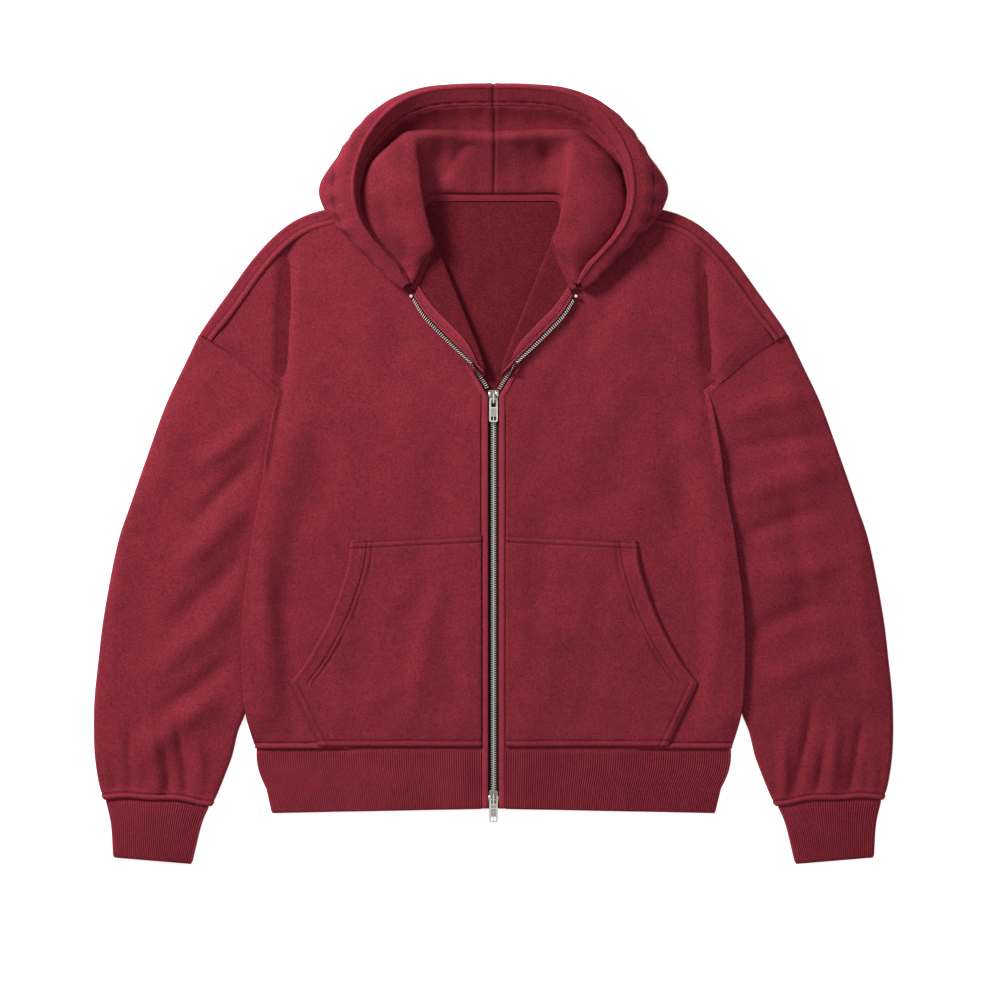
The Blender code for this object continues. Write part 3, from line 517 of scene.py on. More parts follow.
def noise(tree, scale, detail=3.0, roughness=0.55, distortion=0.0, stretch=(1, 1, 1)):
    place = tree.nodes.new("ShaderNodeTexCoord")
    mapping = tree.nodes.new("ShaderNodeMapping")
    mapping.inputs["Scale"].default_value = stretch
    made = tree.nodes.new("ShaderNodeTexNoise")
    for key, value in (("Scale", scale), ("Detail", detail), ("Roughness", roughness),
                       ("Distortion", distortion)):
        made.inputs[key].default_value = value
    tree.links.new(place.outputs["Object"], mapping.inputs["Vector"])
    tree.links.new(mapping.outputs["Vector"], made.inputs["Vector"])
    return made.outputs["Fac"]


def remap(tree, value, low, high, to_low, to_high):
    made = tree.nodes.new("ShaderNodeMapRange")
    for key, number in (("From Min", low), ("From Max", high), ("To Min", to_low), ("To Max", to_high)):
        made.inputs[key].default_value = number
    tree.links.new(value, made.inputs["Value"])
    return made.outputs["Result"]


def mix_colour(tree, factor, first, second, mode="MIX"):
    made = tree.nodes.new("ShaderNodeMix")
    made.data_type = "RGBA"
    made.blend_type = mode
    for socket, value in ((made.inputs[0], factor), (made.inputs[6], first), (made.inputs[7], second)):
        if isinstance(value, (tuple, list)):
            socket.default_value = (*value, 1.0)
        elif isinstance(value, float):
            socket.default_value = value
        else:
            tree.links.new(value, socket)
    return made.outputs[2]


def bump(tree, height, strength, distance, after=None):
    made = tree.nodes.new("ShaderNodeBump")
    made.inputs["Strength"].default_value = strength
    made.inputs["Distance"].default_value = distance
    tree.links.new(height, made.inputs["Height"])
    if after is not None:
        tree.links.new(after, made.inputs["Normal"])
    return made.outputs["Normal"]


def fabric(name, colour, grain, grain_depth, pile=0.0, mottle=0.14, sheen=0.22, stretch=(1, 1, 1)):
    """Dyed cotton: uneven dye, flecks of paler fibre, painted highlight on raised ridges and painted shade in
    grooves and creases, and grain or pile in the bump.
    """
    made, tree, shader = new_material(name)
    base = linear(colour)
    pale = tuple(min(1.0, value * 1.75 + 0.012) for value in base)
    deep = tuple(value * 0.55 for value in base)
    cloud = remap(tree, noise(tree, 38, 4), 0.3, 0.7, 0.0, 1.0)
    tone = mix_colour(tree, cloud, tuple(value * (1 - mottle) for value in base),
                      tuple(value * (1 + mottle) for value in base))
    streak = remap(tree, noise(tree, 210, 3, 0.6, 0.4, stretch), 0.35, 0.72, 0.0, 0.2)
    tone = mix_colour(tree, streak, tone, pale)
    fleck = remap(tree, noise(tree, grain * 0.7, 2, 0.7), 0.5, 0.68, 0.0, 0.55)
    tone = mix_colour(tree, fleck, tone, pale)
    shade = remap(tree, noise(tree, grain * 0.45, 2, 0.6), 0.5, 0.32, 0.0, 0.7)
    tone = mix_colour(tree, shade, tone, deep)
    if pile:
        curl = remap(tree, noise(tree, 300, 3, 0.65, 2.6), 0.56, 0.4, 0.0, 0.75)
        tone = mix_colour(tree, curl, tone, deep)
    relief_highlight_and_shade = tree.nodes.new("ShaderNodeAttribute")
    relief_highlight_and_shade.attribute_name = "relief_highlight_and_shade"
    # painted highlight on raised relief, then painted shade in grooves, seams and creases
    tone = mix_colour(tree, remap(tree, relief_highlight_and_shade.outputs["Fac"], 0.1, 1.3, 0.0, 0.35), tone, pale)
    tone = mix_colour(tree, remap(tree, relief_highlight_and_shade.outputs["Fac"], -0.1, -0.9, 0.0, 0.8), tone, deep)
    tree.links.new(tone, shader.inputs["Base Color"])
    height = bump(tree, noise(tree, grain, 3, 0.7, 0.2, stretch), 0.55, grain_depth * MM)
    if pile:
        height = bump(tree, noise(tree, 260, 3, 0.65, 3.2), 0.9, pile * MM, height)
    tree.links.new(height, shader.inputs["Normal"])
    shader.inputs["Roughness"].default_value = 0.94
    shader.inputs["Specular IOR Level"].default_value = 0.18
    shader.inputs["Sheen Weight"].default_value = sheen
    shader.inputs["Sheen Roughness"].default_value = 0.5
    shader.inputs["Sheen Tint"].default_value = (*pale, 1.0)
    return made


def woven(name, colour, sheen):
    return fabric(name, colour, 1900, 0.2, mottle=0.06, sheen=sheen, stretch=(1, 3, 1))


def metal(name, colour, roughness, metallic, painted_wall_shade=0.0):
    """Nickel plating, lightly worn and brushed, with painted shade darkening its walls and openings."""
    made, tree, shader = new_material(name)
    worn = remap(tree, noise(tree, 420, 4, 0.6), 0.35, 0.7, 0.0, 1.0)
    tone = mix_colour(tree, worn, tuple(value * 0.9 for value in linear(colour)), linear(colour))
    # painted shade: the more a face turns from up or down, the closer its colour goes to black
    if painted_wall_shade:
        place = tree.nodes.new("ShaderNodeTexCoord")
        split = tree.nodes.new("ShaderNodeSeparateXYZ")
        tree.links.new(place.outputs["Normal"], split.inputs["Vector"])
        flatness = tree.nodes.new("ShaderNodeMath")
        flatness.operation = "ABSOLUTE"
        tree.links.new(split.outputs["Z"], flatness.inputs[0])
        wall_shade_mask = remap(tree, flatness.outputs["Value"], 0.35, 0.9, painted_wall_shade, 0.0)
        tone = mix_colour(tree, wall_shade_mask, tone, tuple(value * 0.06 for value in linear(colour)))
    tree.links.new(tone, shader.inputs["Base Color"])
    brushed = noise(tree, 900, 3, 0.6, 0.0, (1, 6, 1))
    rubbed = remap(tree, brushed, 0.3, 0.7, roughness * 0.85, roughness * 1.25)
    tree.links.new(rubbed, shader.inputs["Roughness"])
    tree.links.new(bump(tree, noise(tree, 1500, 2), 0.12, 0.03 * MM), shader.inputs["Normal"])
    shader.inputs["Metallic"].default_value = metallic
    return made


def finish(name):
    """The named material, made once from the settings."""
    if name in bpy.data.materials:
        return bpy.data.materials[name]
    look = bpy.context.scene.hoodie
    makers = {
        "brushed fleece": lambda: fabric(name, look.fleece_colour, 1050, 0.5, stretch=(1, 0.6, 1)),
        "fleece pile": lambda: fabric(name, look.pile_colour, 1000, 0.5, pile=1.1, mottle=0.2),
        "hood fleece": lambda: fabric(name, look.hood_colour, 1050, 0.5, stretch=(0.7, 1, 1)),
        "rib knit": lambda: fabric(name, look.rib_colour, 1500, 0.35, stretch=(1, 0.4, 1)),
        "placket fleece": lambda: fabric(name, look.placket_colour, 1300, 0.35),
        "twill tape": lambda: woven(name, look.tape_colour, 0.1),
        # painted shade: the zip tape is near black
        "zip tape": lambda: woven(name, look.zip_tape_shade_colour, 0.05),
        "sewing thread": lambda: fabric(name, look.thread_colour, 2600, 0.12, mottle=0.05, sheen=0.2),
        "nickel teeth": lambda: metal(name, look.metal_colour, 0.36, 0.55, 0.85),
        "nickel pull": lambda: metal(name, look.metal_colour, 0.3, 0.7, 1.0),
        # near-black plates of painted shadow, not a finish of the zip
        "painted shadow metal": lambda: metal(name, (0.07, 0.06, 0.06), 0.6, 0.3),
        "shade-darkened nickel": lambda: metal(name, look.slider_shade_colour, 0.3, 0.85, 0.9),
    }
    return makers[name]()


# ---------------------------------------------------------------- the front and what follows its edge
FRAMES = {}


def lapel_frame(fraction):
    """Fold point, outward direction, width and turn of the lapel at a fraction of its length."""
    if fraction not in FRAMES:
        fold = at(table(FOLD, "x", "y"), [fraction])[0]
        edge = at(table(ZIP_EDGE, "x", "y"), [fraction ** 0.75])[0]
        share = float(smooth(0.02, 0.2, fraction))
        reach = np.linalg.norm(edge - fold)
        out = np.array([1.0 - share, 0.0]) + share * (edge - fold) / max(reach, 1e-6)
        FRAMES[fraction] = (edge + (fold - edge) * share, unit(out), reach * share, math.pi * share)
    return FRAMES[fraction]


def front_relief(x, y, side):
    """Soft folds of the front, fading out at the zip, under the lapel and at the hem seam."""
    strength = bpy.context.scene.hoodie.fold_strength
    zip_x = np.interp(y, ZIP_EDGE["y"], ZIP_EDGE["x"])
    still = smooth(zip_x + 6, zip_x + 48, x) * smooth(HEM_Y + 1, HEM_Y + 30, y)
    gathers = 0.55 * np.sin(x / 6.1 + 2.2 * np.sin(x / 31 + side)) * (1 - smooth(4, 42, y - HEM_Y))
    gathers = gathers * smooth(16, 40, x)
    soft = 2.0 * folds(x, y, FRONT_FOLDS[side])
    soft = soft + 1.1 * ripple(x, y, 3 + side, 27) + 0.42 * ripple(x, y, 8 + side, 10)
    return strength * (1.9 * still * soft + gathers * smooth(HEM_Y + 3, HEM_Y + 9, y))


def under_pocket(x, y):
    """How far the front sinks beside the zip where the pocket is sewn into the edge."""
    return 1.4 * (1 - smooth(0, 22, x - FRONT_EDGE)) * (1 - smooth(POCKET_TOP_Y - 12, POCKET_TOP_Y - 1, y))


def on_front(row, distance, rise=0.0):
    """Point on the front, at a distance along the cloth from the centre front.

    row is a height below the slider, or a fraction of the lapel's length above it.
    rise moves the point off the cloth, towards the garment's inside face.
    """
    if row[0] == "straight":
        return np.array([distance, row[1], front_height(distance, row[1]) - rise])
    fold, out, width, turn = lapel_frame(row[1])
    past = width + turn * TURN_RADIUS - distance
    if past <= 0:
        flat = fold - out * past
        return np.array([flat[0], flat[1], front_height(flat[0], flat[1]) - rise])
    angle = min(past / TURN_RADIUS, turn)
    radius = TURN_RADIUS + rise
    straight = past - angle * TURN_RADIUS
    sideways = radius * math.sin(angle) + straight * math.cos(angle)
    height = TURN_RADIUS - radius * math.cos(angle) + straight * math.sin(angle)
    flat = fold - out * sideways
    return np.array([flat[0], flat[1], front_height(fold[0], fold[1]) + height])


def straight_rows(low, high, step):
    return [("straight", float(y)) for y in np.linspace(low, high, max(2, int((high - low) / step) + 1))]


def lapel_rows(low, high, count):
    return [("lapel", float(value)) for value in np.linspace(low, high, count)]


def strip(rows, stops, rise):
    """A band that follows the zip edge, through distances from the centre front."""
    grid = []
    for row in rows:
        share = float(smooth(0.02, 0.2, row[1])) if row[0] == "lapel" else 0.0
        places = np.array(stops)
        if row[0] == "lapel":
            squeeze = smooth(0.0, 0.06, row[1]) * (1 - smooth(0.21, 0.34, row[1]))
            narrow = np.linspace(stops[0], min(stops[-1], 5.2), len(stops))
            places = places + (narrow - places) * squeeze
        grid.append([on_front(row, place, rise * (1 + 3.2 * share * (1 - share))) for place in places])
    return np.array(grid)


def zip_line(fraction):
    """Point on the open zip's edge in plan, and the direction from it away from the opening."""
    places = [max(fraction + step, 0) ** 0.75 for step in (-0.01, 0.0, 0.01)]
    near = at(table(ZIP_EDGE, "x", "y"), places)
    along = unit(near[2] - near[0])
    return near[1], np.array([along[1], -along[0]])


def zip_frame(fraction):
    """Middle of the open zip's row of teeth, and the direction from it across the tape."""
    plan, outward = zip_line(fraction)
    flat, foot = (on_front(("lapel", max(fraction, TWIST_END)), place, TAPE_RISE) for place in (0.0, 3.0))
    settled = float(smooth(0.0, TWIST_END, fraction))
    turn = math.pi * float(smooth(0.03, TWIST_END, fraction))
    height = CHAIN_MIDDLE + (flat[2] - CHAIN_MIDDLE) * settled + 3.2 * math.sin(turn)
    origin = np.array([*(plan * (1 - settled) + flat[:2] * settled), height])
    across = np.array([*(outward * math.cos(turn)), math.sin(turn)])
    if fraction >= TWIST_END:
        across = unit(foot - flat)
    return origin, across


def shoulder_seam(count):
    """Front shoulder seam, tip to neck: the outline moved in by the width that the back turns over."""
    outline = at(table(OUTLINE, "x", "y"), np.linspace(0, 0.56, count))[1:]
    direction = np.gradient(outline, axis=0)
    inward = unit(np.stack([-direction[:, 1], direction[:, 0]], axis=1))
    return outline + inward * (SHOULDER_TURN + 3.6)


def front_grid(side):
    """Front panel from the zip to the side and shoulder, with the lapel turned out at the top."""
    below = [("straight", float(HEM_Y - 1.6 + value)) for value in
             np.concatenate([np.arange(0, 12, 0.9), np.linspace(12, 30, 11), np.linspace(33.5, 370.6, 92)])]
    above = lapel_rows(0.0, 1.0, 78)
    turned, starts = [], []
    for row in below + above:
        width, start = 0.0, FRONT_EDGE
        if row[0] == "lapel":
            width, turn = lapel_frame(row[1])[2:]
            width += turn * TURN_RADIUS
            start = FRONT_EDGE + (4.2 - FRONT_EDGE) * float(smooth(0, 0.2, row[1]))
        roll = max(width + 1.0, FRONT_EDGE + 9.0)
        bend = min(max(width - math.pi * TURN_RADIUS, start + 4.0), roll - 3)
        stops = np.concatenate([np.linspace(start, bend, 13), np.linspace(bend, roll, 9)[1:]])
        turned.append([on_front(row, stop) for stop in stops])
        starts.append(on_front(row, roll))
    turned, inner = np.array(turned), np.array(starts)[:, :2]
    lower = np.array([[smooth_side_x(row[1]) + 2.4 * smooth(-15, 25, row[1]), row[1]] for row in below])
    armhole = at(table(ARMHOLE, "x", "y")[:4], np.linspace(0, 1, len(above))) + [1.2, -1.9]
    outer = np.vstack([lower, armhole])
    near_side = 1 - np.concatenate([np.arange(0, 10, 1.0), np.linspace(10, 26, 10)])[::-1] / 250
    across = np.concatenate([np.linspace(0, near_side[0], 66)[:-1], near_side])
    bottom = inner[0] + across[:, None] * (outer[0] - inner[0])
    top = at(np.vstack([shoulder_seam(9), table(NECKLINE, "x", "y")]), 1 - across ** 0.9)
    top[0], top[-1] = inner[-1], outer[-1]
    climb = np.concatenate([np.interp([row[1] for row in below], [HEM_Y, 70], [0, 0.12]),
                            0.12 + 0.88 * np.linspace(0, 1, len(above) + 1)[1:]])
    flat = patch(bottom, top, inner, outer, across, climb)
    x, y = flat[..., 0], flat[..., 1]
    body = np.dstack([flat, front_height(x, y) + front_relief(x, y, side)])
    base, end = edge_distance(body, "bottom"), edge_distance(body, "end")
    body[..., 2] += 3.1 * (1 - smooth(0.5, 9, end)) * smooth(-15, 25, y)
    body[..., 2] += 1.3 * (1 - smooth(0.5, 6, base)) * smooth(150, 162, x)
    for part in (body, turned):
        part[..., 2] -= under_pocket(part[..., 0], part[..., 1])
    return np.concatenate([turned, body[:, 1:]], axis=1), len(below)


def build_front(side, name):
    grid, straight_count = front_grid(side)
    base, end, start = (edge_distance(grid, edge) for edge in ("bottom", "end", "start"))
    rows = np.arange(len(grid))[:, None]
    above_armpit = smooth(straight_count - 2, straight_count + 6, rows)
    below_slider = 1 - smooth(straight_count - 3, straight_count + 2, rows)
    relief = ridge(base - 2.6, 1.9, 0.8) + groove(base - 6.3, 0.9, 0.55)
    relief = relief * smooth(150, 162, grid[..., 0])
    relief = relief + below_slider * groove(start, 0.8, 0.55)
    relief = relief + above_armpit * (ridge(end - 3, 2.6, 0.8) + groove(end - 7.2, 0.9, 0.5))
    relief = relief * smooth(-0.2, 1.2, end)
    shell = Shell(name, grid, CLOTH, (finish("brushed fleece"), finish("fleece pile")), side, relief=relief)
    declare_sheet(shell, name)
    share = straight_count / len(grid)
    return [inset_line(shell, "bottom", 6.3), inset_line(shell, "end", 7.2, share)]


def build_back():
    """Back panel, whose upper edge turns over the shoulders to the front."""
    rows = np.concatenate([np.arange(0, 12, 1.0), np.linspace(12, 369, 62)]) + HEM_Y
    count = 48
    near = 1 - np.concatenate([np.arange(0, 10, 1.5), np.linspace(10, 50, 18)])[::-1] / 265
    columns = np.concatenate([np.linspace(0, near[0], 32)[:-1], near])
    lower = np.array([[smooth_side_x(y) - 0.2, y] for y in rows])
    armhole = at(table(ARMHOLE, "x", "y"), np.linspace(0, 1, count)) - [0.4, -0.2]
    outer = np.vstack([lower, armhole])
    heights = np.concatenate([rows, np.linspace(75, 303, count)])
    inner = np.stack([np.zeros(len(outer)), heights], axis=1)
    bottom = np.stack([columns * lower[0][0], np.full(len(columns), HEM_Y)], axis=1)
    top = at(table(OUTLINE, "x", "y"), 1 - columns)
    top[-1] = outer[-1]
    flat = patch(bottom, top, inner, outer, columns, (heights - heights[0]) / (heights[-1] - heights[0]))
    grid = np.dstack([flat, back_height(flat[..., 0], flat[..., 1])])
    radius = BACK_TURN_RADIUS
    direction = np.gradient(top, axis=0)
    outward = unit(np.stack([-direction[:, 1], direction[:, 0]], axis=1))
    turn = math.pi * smooth(88, 125, top[:, 0])
    tip = smooth(300, 322, top[:, 0])
    start = grid[-1].copy()
    start[:, :2] -= outward * radius * 1.02
    grid[-1] = start
    wrap = []
    for step in np.linspace(0.125, 1.0, 8):
        angle = turn * step
        loop = start.copy()
        loop[:, :2] += outward * (radius * np.sin(angle) + np.where(turn < 0.1, 1.6 * step, 0))[:, None]
        loop[:, 2] += radius * (1 - np.cos(angle)) * (1 + 0.85 * smooth(290, 314, top[:, 0]))
        wrap.append(loop)
    seam_reach = np.where(turn > 3, -SHOULDER_TURN * (1 - 0.2 * tip) - 2.6, np.where(turn < 0.1, 1.8, -2.0))
    rolled = wrap[-1]
    goal = start[:, :2] + outward * seam_reach[:, None]
    step_up = 2.1 * smooth(3, 3.1, turn) * (1 - 0.6 * smooth(290, 314, top[:, 0]))
    for step in np.linspace(0.1, 1.0, 10):
        seam = rolled.copy()
        seam[:, :2] += (goal - seam[:, :2]) * step
        seam[:, 2] += step_up * smooth(0.3, 0.9, step)
        wrap.append(seam)
    half = np.vstack([grid, np.array(wrap)])
    mirrored = half[:, :0:-1] * [-1, 1, 1]
    whole = np.concatenate([mirrored, half], axis=1)
    top_edge = edge_distance(whole, "top")
    turned = smooth(100, 128, np.abs(whole[..., 0])) * (top_edge < 11)
    relief = turned * (ridge(top_edge - 2.2, 2.0, 0.7) + groove(top_edge - 5.8, 0.9, 0.55))
    # the columns run backwards, so the cloth's outer face is the one it rests on
    shell = Shell("back", whole[:, ::-1], CLOTH, (finish("brushed fleece"), finish("fleece pile")),
                  relief=np.flip(relief, 1))
    declare_sheet(shell, "back")
    first = float(np.argmax(np.abs(shell.grid[-1, :, 0]) < 128)) / whole.shape[1]
    return [inset_line(shell, "top", 5.8, 0.01, first - 0.02),
            inset_line(shell, "top", 5.8, 1 - first + 0.02, 0.99)]


# ---------------------------------------------------------------- sleeves, ribs and pockets
def flat_ring(inner_point, outer_point, low, high, angles):
    """A flattened loop between two edge points; low and high are the heights of its two walls."""
    share = (1 - np.sign(np.cos(angles)) * np.abs(np.cos(angles)) ** 0.75) / 2
    rise = np.sign(np.sin(angles)) * np.abs(np.sin(angles)) ** 0.32
    plan = inner_point + share[:, None] * (outer_point - inner_point)
    return np.column_stack([plan, (low + high) / 2 + (high - low) / 2 * rise]), share


def even_loop(loop, count, closed=True):
    """The loop resampled to even steps along its length."""
    ends = np.vstack([loop, loop[:1]]) if closed else loop
    run = run_of(ends)
    return read(np.linspace(0, run[-1], count, endpoint=not closed), run, ends)


def sleeve_grid(side):
    """Sleeve tube: rings from the armhole to the cuff, pressed flat where the body lies on it."""
    fractions = dense_ends(SLEEVE_LENGTH, 4.2, 1.1, 13)
    outer = at(table(SLEEVE_OUTER, "x", "y"), fractions)
    inner = at(table(SLEEVE_INNER, "x", "y"), fractions)
    chord = np.linspace(0, 1, 41)[:, None]
    armhole = at(table(ARMHOLE, "x", "y"), chord[:, 0])
    cuff = at(table(CUFF_SEAM, "x", "y"), chord[:, 0])
    top_bow = armhole - (armhole[0] + chord * (armhole[-1] - armhole[0]))
    low_bow = cuff - (cuff[0] + chord * (cuff[-1] - cuff[0]))
    angles = np.linspace(0, 2 * math.pi, 180, endpoint=False)
    rings = []
    for index, fraction in enumerate(fractions):
        straight = inner[index] + chord * (outer[index] - inner[index])
        across = straight + top_bow * (1 - smooth(0, 0.45, fraction)) + low_bow * smooth(0.75, 1, fraction)
        share = (1 - np.sign(np.cos(angles)) * np.abs(np.cos(angles)) ** 0.8) / 2
        plan = read(share, chord[:, 0], across)
        width = np.linalg.norm(outer[index] - inner[index])
        air = 3.9 + 2.4 * smooth(0, 0.2, fraction) * (1 - smooth(0.9, 1, fraction))
        height = 3.7 + (air - 3.7) * smooth(14, 60, share * width) if fraction > 0 else air
        turn = np.sign(np.sin(angles)) * np.abs(np.sin(angles)) ** 0.3
        loop = np.column_stack([plan, BACK_Z + height / 2 * (1 + turn)])
        loop = even_loop(loop, SLEEVE_LOOP)
        upper = smooth(BACK_Z + 1.2, BACK_Z + 3.0, loop[:, 2])
        reach = np.minimum(np.abs(loop[:, 0] - np.interp(fraction, fractions, inner[:, 0])), width)
        rim = smooth(0, 9, reach) * smooth(0, 12, width - reach)
        body_edge = side_x(np.minimum(loop[:, 1], ARMPIT_Y))
        free = smooth(body_edge + 2, body_edge + 16, loop[:, 0])
        ends = smooth(0.01, 0.09, fraction) * (1 - smooth(0.975, 0.997, fraction))
        x, y = loop[:, 0], loop[:, 1]
        soft = 2.6 * folds(x, y, SLEEVE_FOLDS[side])
        soft = soft + ripple(x, y, 5 + side, 17) + 0.3 * ripple(x, y, 9 + side, 6.5)
        gather = 0.9 * np.sin(x / 3.9 + 1.8 * np.sin(x / 17 + side)) * smooth(0.88, 0.985, fraction)
        loop[:, 2] += bpy.context.scene.hoodie.fold_strength * upper * rim * free * ends * (soft + gather)
        loop[:, 1] -= smooth(0.9, 1, fraction) * (2.1 + 1.9 * upper)
        loop[:, 2] += 1.1 * upper * smooth(0.975, 0.99, fraction)
        rings.append(loop)
    return np.array(rings)[:, ::-1]


def build_sleeve(side, name):
    grid = sleeve_grid(side)
    top, base = edge_distance(grid, "bottom"), edge_distance(grid, "top")
    upper = smooth(BACK_Z + 1, BACK_Z + 3, grid[..., 2])
    relief = upper * (ridge(top - 2.0, 1.8, 0.5) + ridge(base - 2.2, 2.0, 1.0) + groove(base - 5.7, 0.9, 0.5))
    shell = Shell(name, grid, CLOTH, (finish("brushed fleece"), finish("fleece pile")), side, closed=True,
                  relief=relief)
    declare_sheet(shell, name)
    return [inset_line(shell, "top", 5.7)]


def rib_relief(grid, seam, fold, start):
    """Ribs four columns wide, fading out at the seam and at the fold."""
    wave = np.cos(np.arange(grid.shape[1]) * 2 * math.pi / 4)
    base, top = edge_distance(grid, seam), edge_distance(grid, fold)
    return 0.6 * wave[None, :] * smooth(*start, base) * smooth(0.5, 3, top) - 0.5 * (1 - smooth(0, 2.2, base))


def build_cuff(side, name):
    """Ribbed cuff: two layers pressed together, its ribs running down to the fold at the wrist."""
    pitch = bpy.context.scene.hoodie.rib_pitch / MM
    angles = np.linspace(0, 2 * math.pi, 240, endpoint=False)
    seam = at(table(CUFF_SEAM, "x", "y"), np.linspace(0, 1, 20))
    bow = (seam - (seam[0] + np.linspace(0, 1, 20)[:, None] * (seam[-1] - seam[0])))[:, 1]
    outer = refine(table(CUFF, "outer_x", "outer_y"), 12)
    inner = refine(table(CUFF, "inner_x", "inner_y"), 12)
    loops = []
    ribs = 2 * round(105 / pitch)
    for index in range(len(outer)):
        sunk = 1.3 * (1 - float(smooth(0, 3, index)))
        loop, share = flat_ring(inner[index], outer[index], BACK_Z, BACK_Z + 3.6 - sunk, angles)
        fade = max(0.0, 1 - 0.6 * index / 12)
        loop[:, 1] += np.interp(share, np.linspace(0, 1, 20), bow) * fade
        loops.append(even_loop(loop, ribs * 4))
    grid = np.array(loops)[:, ::-1]
    relief = rib_relief(grid, "top", "bottom", (0.2, 2.5))
    shell = Shell(name, grid, RIB - 0.5, (finish("rib knit"),), side, closed=True, relief=relief)
    declare_sheet(shell, name)


def build_hem():
    """Ribbed hem band: one strip from zip edge to zip edge, round both sides and the back."""
    pitch = bpy.context.scene.hoodie.rib_pitch / MM
    top_side = BACK_Z + PLY + 0.6
    rows = []
    for share in dense_ends(HEM_LENGTH, 5.2, 1.3, 7.8):
        y = HEM_Y - 0.5 + share * (HEM_END_Y - HEM_Y + 0.5)
        side = SIDE["x"][0] - 2.0 + share * (HEM_SIDE_END - SIDE["x"][0] + 2.0)
        side += 4.0 * math.sin(math.pi * min(share * 1.6, 1.0))
        slant = -5.0 * share
        drop = 1.0 - float(smooth(0, 7, share * HEM_LENGTH))
        front_x = np.linspace(FRONT_EDGE, side - 22, 60)
        height = front_height(front_x, HEM_Y)
        height = height + 1.6 * smooth(14, 40, front_x) * (1 - smooth(140, 175, front_x))
        height = height + (top_side - height) * smooth(150, 220, front_x) - drop
        half = (top_side - drop - BACK_Z) / 2
        middle = BACK_Z + half
        # the band hangs in soft waves between the zip and the sides
        wave = 0.55 * np.sin(front_x / 17 + 1.2) * smooth(24, 60, front_x) * smooth(0.0, 0.7, share)
        front = np.column_stack([front_x, y + slant * front_x / side, height + wave])
        angles = np.radians(np.linspace(90, -90, 13))
        turn = np.column_stack([side - half + half * np.cos(angles), np.full(13, y + slant),
                                middle + half * np.sin(angles)])
        under_x = np.linspace(side - 22, 0, 40)
        under = np.column_stack([under_x, y + slant * under_x / side, np.full(40, BACK_Z)])
        rows.append(np.vstack([front, turn, under]))
    ribs = round(run_of(rows[0])[-1] / pitch)
    right = np.array([even_loop(row, ribs * 4 + 1, closed=False) for row in rows])
    left = right[:, :0:-1] * [-1, 1, 1]
    grid = np.concatenate([right, left], axis=1)[::-1]
    relief = rib_relief(grid, "bottom", "top", (0.1, 2.0))
    shell = Shell("hem_rib", grid, RIB - 0.5, (finish("rib knit"),), relief=relief)
    declare_sheet(shell, "hem_rib")


